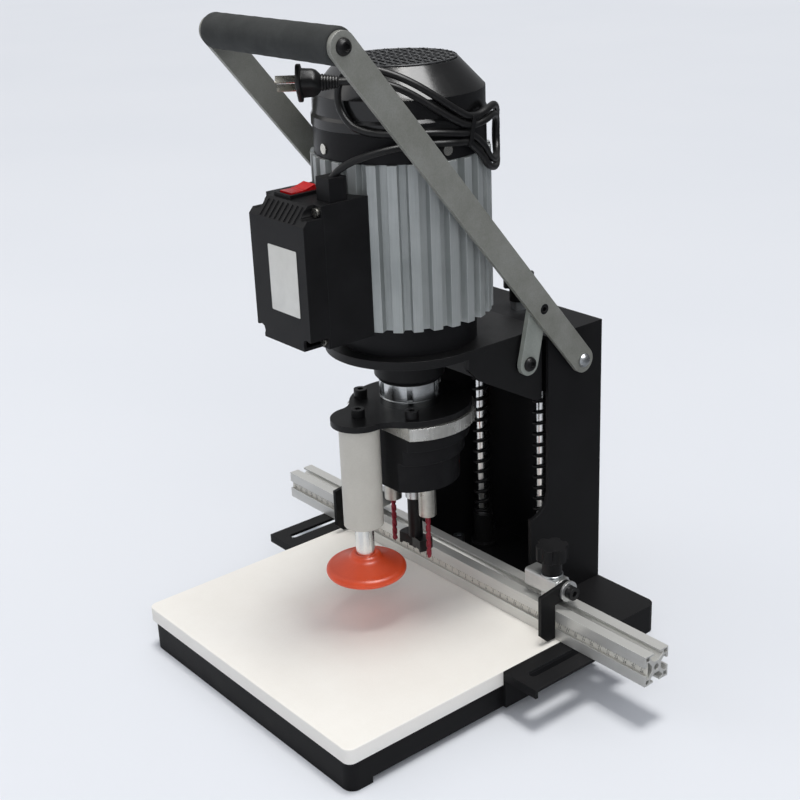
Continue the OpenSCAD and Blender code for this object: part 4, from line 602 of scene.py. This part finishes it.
# printing ink: flat dark grey, hardly any shine
ink = makeFinish("tape_ink", colour="#2a2a2c", other="#38383a", rough=(0.4, 0.5), grain=0.8, bump=0.01,
                 smudge=10)
tapeFace = tapeLow.y / mm - scaleSizes["depth"] / 2
for name, pitch, tall in scaleSizes["marks"]:
    count = int(2 * scaleSizes["half"] / pitch) + 1
    first = Vector((-(count - 1) / 2 * pitch, tapeFace, scaleSizes["top"] - tall / 2))
    mark = Vector((scaleSizes["thin"] + scaleSizes["wider"] * pitch, scaleSizes["depth"], tall))
    runTree("scale_" + name, bpy.data.objects.new(name, bpy.data.meshes.new(name)), rowTree,
            {"Count": count, "First": first * mm, "Step": Vector((pitch, 0, 0)) * mm, "Size": mark * mm,
             "Finish": ink}, "fence")
numbers = bmesh.new()
for value in range(-scaleSizes["lastNumber"], scaleSizes["lastNumber"] + 1):
    text = bpy.data.curves.new("number", "FONT")
    text.body = str(abs(value))
    text.align_x = "CENTER"
    text.size = scaleSizes["numberHeight"] * scaleSizes["fontShare"] * mm
    text.extrude = scaleSizes["depth"] / 2 * mm
    text.resolution_u = 2
    holder = bpy.data.objects.new("number", text)
    bpy.context.scene.collection.objects.link(holder)
    graph = bpy.context.evaluated_depsgraph_get()
    glyphs = bpy.data.meshes.new_from_object(holder.evaluated_get(graph), depsgraph=graph)
    spot = Vector((value * scaleSizes["numberStep"], tapeFace, scaleSizes["numberZ"]))
    glyphs.transform(Matrix.Translation(spot * mm) @ Matrix.Rotation(math.radians(90), 4, "X"))
    numbers.from_mesh(glyphs)
    bpy.data.objects.remove(holder)
numberMesh = bpy.data.meshes.new("scale_numbers")
numbers.to_mesh(numberMesh)
numbers.free()
meshPiece("scale_numbers", numberMesh, "fence", ink)
print("scale made")

# bare rating plate on the switch box
plateSizes = {"x": 6.5, "z": 400, "width": 41, "height": 58, "thick": 0.4, "corner": 1.2, "chamfer": 0.3,
              "chamferFrom": 0.6}
p = plateSizes
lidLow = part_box("switch_lid")[0]
# satin foil: pale grey with a weak metal sheen
foil = makeFinish("plate_foil", colour="#d8d8d4", other="#cfcfcb", rough=(0.32, 0.42), grain=0.9, bump=0.02,
                  smudge=14, metal=0.15)
plateRings = []
for out, inset in ((0, 0), (p["thick"] * p["chamferFrom"], 0), (p["thick"], p["chamfer"])):
    outline = roundRect(p["width"] - 2 * inset, p["height"] - 2 * inset, p["corner"] - inset, 5)
    plateRings.append([Vector((p["x"] + x, lidLow.y / mm - out, p["z"] + z)) * mm for x, z in outline])
meshPiece("rating_plate", smoothShade(loft("rating_plate", plateRings)), "carriage", foil)
print("plate made")

# foam grip with rounded ends
low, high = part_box("handle_grip")
gripSizes = {"ends": 2.5, "bore": 11.2, "parts": 24, "wave": 0.12, "beat": 2.1}
n = gripSizes
half, radius = (high.x - low.x) / 2 / mm, (high.z - low.z) / 2 / mm
profile = [(n["bore"], -half)]
profile += [(radius - inset, -half + lift) for inset, lift in quarterRound(n["ends"])]
otherEnd = [(r, -h) for r, h in reversed(profile)]
for i in range(1, n["parts"]):
    h = (-half + n["ends"]) + 2 * (half - n["ends"]) * i / n["parts"]
    profile.append((radius - n["wave"] * (1 + math.sin(i * n["beat"])), h))
profile += otherEnd + [(n["bore"], -half)]
seat = (Matrix.Translation((low + high) / 2) @ Matrix.Rotation(math.radians(90), 4, "Y")
        @ Matrix.Scale(mm, 4))
grip = meshPiece("foam_grip", smoothShade(turned("foam_grip", profile, seat), 50), "lever", finish["foam"])
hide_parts("handle_grip")
print("grip made")

# pressure foot, turned in one sweep
low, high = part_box("clamp_foot")
# a row of "shoulder" is how far in from the collar and how far down from the top
footSizes = {"rim": 5, "collar": 15.5, "bore": 9.05, "height": 22, "seat": 7, "flat": 1, "fillet": 1.5,
             "slope": 6.6, "hollow": 1.15, "chamfer": 0.8, "rimParts": 12, "slopeParts": 8,
             "shoulder": ((0, 4.4), (0.7, 2.6), (1.6, 1), (3, 0.2), (4.2, 0))}
f = footSizes
radius = (high.x - low.x) / 2 / mm
inner = radius - f["rim"]
profile = [(0, 0), (inner - f["flat"], 0)]
for i in range(1, f["rimParts"] + 1):
    a = math.radians(-90 + 180 * i / f["rimParts"])
    profile.append((inner + f["rim"] * math.cos(a), f["rim"] + f["rim"] * math.sin(a)))
for i in range(1, f["slopeParts"] + 1):
    t = i / f["slopeParts"]
    profile.append((inner - (inner - f["collar"] - f["fillet"]) * t,
                    2 * f["rim"] + f["slope"] * t ** f["hollow"]))
profile += [(f["collar"] - inwards, f["height"] - down) for inwards, down in f["shoulder"]]
profile += [(f["bore"] + f["chamfer"], f["height"]), (f["bore"], f["height"] - f["chamfer"]),
            (f["bore"], f["seat"]), (0, f["seat"])]
seat = Matrix.Translation(((low.x + high.x) / 2, (low.y + high.y) / 2, low.z)) @ Matrix.Scale(mm, 4)
foot = meshPiece("pressure_foot", smoothShade(turned("pressure_foot", profile, seat, 96), 50), "plunger",
                 finish["foot_red"])
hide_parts("clamp_foot")
print("foot made")

# wire lattice over the fan cover's vents
latticeSizes = {"radius": 51.5, "step": 6.2, "wire": 0.75, "lift": 0.2, "slant": math.radians(34),
                "weave": 0.8, "spacing": 3.1, "rimParts": 96, "sides": 6}
g = latticeSizes
# lacquered wire: dark grey with a small glint on each bend
wireFinish = makeFinish("lattice_wire", colour="#3d3e40", other="#303133", rough=(0.34, 0.46), grain=0.8,
                        bump=0.03, smudge=12, metal=0.4)
wires = []
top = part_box("fan_cover")[1].z / mm + g["wire"] + g["lift"]
count = int(g["radius"] / g["step"])
for way in (0, 1):
    turnBy = g["slant"] if way else -g["slant"]
    for i in range(-count, count + 1):
        off = i * g["step"]
        reach = math.sqrt(max(0, g["radius"] ** 2 - off * off))
        line = []
        parts = max(2, int(2 * reach / g["spacing"]))
        for j in range(parts + 1):
            u = -reach + 2 * reach * j / parts
            lift = g["wire"] * g["weave"] * math.sin(math.pi * (u / g["step"] + i + way))
            line.append(Vector((u * math.cos(turnBy) - off * math.sin(turnBy),
                                c["axisY"] + u * math.sin(turnBy) + off * math.cos(turnBy), top + lift)) * mm)
        wires.append(line)
rim = []
for k in range(g["rimParts"] + 1):
    a = 2 * math.pi * k / g["rimParts"]
    rim.append(Vector((g["radius"] * math.cos(a), c["axisY"] + g["radius"] * math.sin(a), top)) * mm)
runTree("vent_lattice", curveSource("latticeCurve", wires + [rim]), tubeTree,
        {"Radius": g["wire"] * mm, "Sides": g["sides"], "Finish": wireFinish}, "carriage")
print("lattice made")

# side drills: two flutes wound down to the point, in place of the plain solids
drillSizes = {"pitch": 17, "flutes": 2, "keen": 1.5, "point": 2.2, "tip": 0.12, "depth": 0.46, "plain": 10,
              "runOut": 4, "sides": 28, "stepZ": 0.6}
d = drillSizes
for side, hand in (("left", -1), ("right", 1)):
    low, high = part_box(side + "_drill")
    centre, radius = (low + high) / 2 / mm, (high.x - low.x) / 2 / mm
    foot, length = low.z / mm, (high.z - low.z) / mm
    rings = []
    layers = int(length / d["stepZ"])
    for i in range(layers + 1):
        h = i * length / layers
        taper = min(1, d["tip"] + (1 - d["tip"]) * h / d["point"])
        fluted = d["depth"] * ease((length - d["plain"] - h) / d["runOut"])
        ring = []
        for k in range(d["sides"]):
            a = 2 * math.pi * k / d["sides"]
            wound = a - hand * 2 * math.pi * h / d["pitch"]
            groove = max(0, math.cos(d["flutes"] * wound)) ** d["keen"]
            r = radius * taper * (1 - fluted * groove)
            ring.append(Vector((centre.x + r * math.cos(a), centre.y + r * math.sin(a), foot + h)) * mm)
        rings.append(ring)
    drill = meshPiece(side + "_twist_drill", smoothShade(loft(side + "_twist_drill", rings), 40),
                      side + "_bit", finish["drill_red"])
    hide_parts(side + "_drill")
print("drills made")

# zinc washers under the stop knobs
washerSizes = {"belowTop": 31.1, "thick": 2.15, "radius": 10.35, "bore": 8.5, "ease": 0.25}
w = washerSizes
for side in ("left", "right"):
    low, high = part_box(side + "_stop_knob")
    seat = (Matrix.Translation(((low.x + high.x) / 2, (low.y + high.y) / 2, high.z - w["belowTop"] * mm))
            @ Matrix.Scale(mm, 4))
    profile = [(w["bore"], 0), (w["radius"] - w["ease"], 0), (w["radius"], w["ease"]),
               (w["radius"], w["thick"] - w["ease"]), (w["radius"] - w["ease"], w["thick"]),
               (w["bore"], w["thick"])]
    meshPiece(side + "_knob_washer", smoothShade(turned(side + "_knob_washer", profile, seat), 30),
              side + "_knob", finish["zinc"])
print("washers made")

# floor and light
floorHalf = 20  # metres
floorMesh = bpy.data.meshes.new("floor")
floorCorners = [(x * floorHalf, y * floorHalf, 0) for x, y in ((-1, -1), (1, -1), (1, 1), (-1, 1))]
floorMesh.from_pydata(floorCorners, [], [(0, 1, 2, 3)])
floor = bpy.data.objects.new("floor", floorMesh)
bpy.context.scene.collection.objects.link(floor)
lightSide = Vector((-0.62, -0.78, 0))  # the side that gloss mirrors as bright
skyFill = 0.46  # the sky's level for everything but the background and mirrored light


def makeFloor():
    # pale painted floor; in gloss rays its colour carries painted light and shade: bright on the light side
    # and painted dark on the other
    material = bpy.data.materials.new("studio_floor")
    material.use_nodes = True
    tree = material.node_tree
    tree.nodes.clear()
    where = put(tree, "ShaderNodeTexCoord").outputs["Object"]
    cloud = put(tree, "ShaderNodeTexNoise", Vector=where, Scale=1.2, Detail=2.0)
    pale = put(tree, "ShaderNodeMix", {"data_type": "RGBA"}, Factor=cloud.outputs[0], i6=linear("#e4e7ee"),
               i7=linear("#dee2ea")).outputs[2]
    across = put(tree, "ShaderNodeVectorMath", {"operation": "DOT_PRODUCT"}, i0=where,
                 i1=lightSide).outputs["Value"]
    bright = put(tree, "ShaderNodeMapRange", Value=across, From_Min=-0.9, From_Max=0.7).outputs[0]
    # painted shade (dark grey) on the far side and painted light on the light side, seen only in reflections
    mirrored = put(tree, "ShaderNodeMix", {"data_type": "RGBA"}, Factor=bright, i6=linear("#5a5c60"),
                   i7=linear("#e2e5ec")).outputs[2]
    glossy = put(tree, "ShaderNodeLightPath").outputs["Is Glossy Ray"]
    tint = put(tree, "ShaderNodeMix", {"data_type": "RGBA"}, Factor=glossy, i6=pale, i7=mirrored).outputs[2]
    shader = put(tree, "ShaderNodeBsdfDiffuse", Color=tint)
    put(tree, "ShaderNodeOutputMaterial", Surface=shader.outputs[0])
    return material


floorMesh.materials.append(makeFloor())

world = bpy.data.worlds.new("studio")
bpy.context.scene.world = world
world.use_nodes = True
tree = world.node_tree
tree.nodes.clear()
rays = put(tree, "ShaderNodeLightPath").outputs
seen = put(tree, "ShaderNodeMath", {"operation": "MAXIMUM"}, i0=rays["Is Camera Ray"],
           i1=rays["Is Transmission Ray"])
heading = put(tree, "ShaderNodeTexCoord").outputs["Generated"]
height = put(tree, "ShaderNodeSeparateXYZ", Vector=heading).outputs["Z"]
across = put(tree, "ShaderNodeVectorMath", {"operation": "DOT_PRODUCT"}, i0=heading,
             i1=lightSide).outputs["Value"]
sideways = put(tree, "ShaderNodeMapRange", Value=across, From_Min=-0.7, From_Max=0.6, To_Min=0.22,
               To_Max=1.0).outputs[0]
upward = put(tree, "ShaderNodeMapRange", Value=height, From_Min=0.0, From_Max=0.85, To_Min=0.55,
             To_Max=1.0).outputs[0]
mirrored = put(tree, "ShaderNodeMath", {"operation": "MULTIPLY"}, i0=sideways, i1=upward).outputs[0]
lit = put(tree, "ShaderNodeMix", {"data_type": "FLOAT"}, i0=rays["Is Glossy Ray"], i2=skyFill,
          i3=mirrored).outputs[0]
level = put(tree, "ShaderNodeMix", {"data_type": "FLOAT"}, i0=seen.outputs[0], i2=lit, i3=1.0).outputs[0]
sky = put(tree, "ShaderNodeBackground", Color=linear("#f6f8fc"), Strength=level)
put(tree, "ShaderNodeOutputWorld", Surface=sky.outputs[0])

lamps = {
    # soft light straight from above, which puts the shadows under the pieces
    "overhead_light": dict(kind="SUN", place=(0.12, 0.06, 2.6), aim=(0, 0, 0.2), size=math.radians(16),
                           power=1.75, colour="#fffdf8"),
    # a large lamp far on the left
    "side_light": dict(kind="AREA", place=(-1.5, -1.2, 1.7), aim=(0, 0, 0.4), size=1.4, power=5,
                       colour="#fffaf3"),
    # opens the shadows on the camera's side, without a glint
    "front_fill": dict(kind="AREA", place=(1.7, -1.0, 1.5), aim=(0, 0, 0.4), size=1.2, power=9,
                       colour="#ffffff", hidden="glossy"),
    # seen only in gloss, as the soft glint on the fan cover
    "gloss_panel": dict(kind="AREA", place=(0.95, 0.05, 2.05), aim=(0, 0, 0.55), size=1.3, power=60,
                        colour="#ffffff", hidden="diffuse"),
}
for name, lamp in lamps.items():
    data = bpy.data.lights.new(name, lamp["kind"])
    data.energy, data.color = lamp["power"], linear(lamp["colour"])[:3]
    if lamp["kind"] == "SUN":
        data.angle = lamp["size"]
    else:
        data.size = lamp["size"]
    holder = bpy.data.objects.new(name, data)
    holder.visible_glossy = lamp.get("hidden") != "glossy"
    holder.visible_diffuse = lamp.get("hidden") != "diffuse"
    holder.location = lamp["place"]
    holder.rotation_euler = (Vector(lamp["aim"]) - Vector(lamp["place"])).to_track_quat("-Z", "Y").to_euler()
    bpy.context.scene.collection.objects.link(holder)
print("floor and light set")

bpy.context.scene.view_settings.view_transform = "Standard"
bpy.context.view_layer.update()
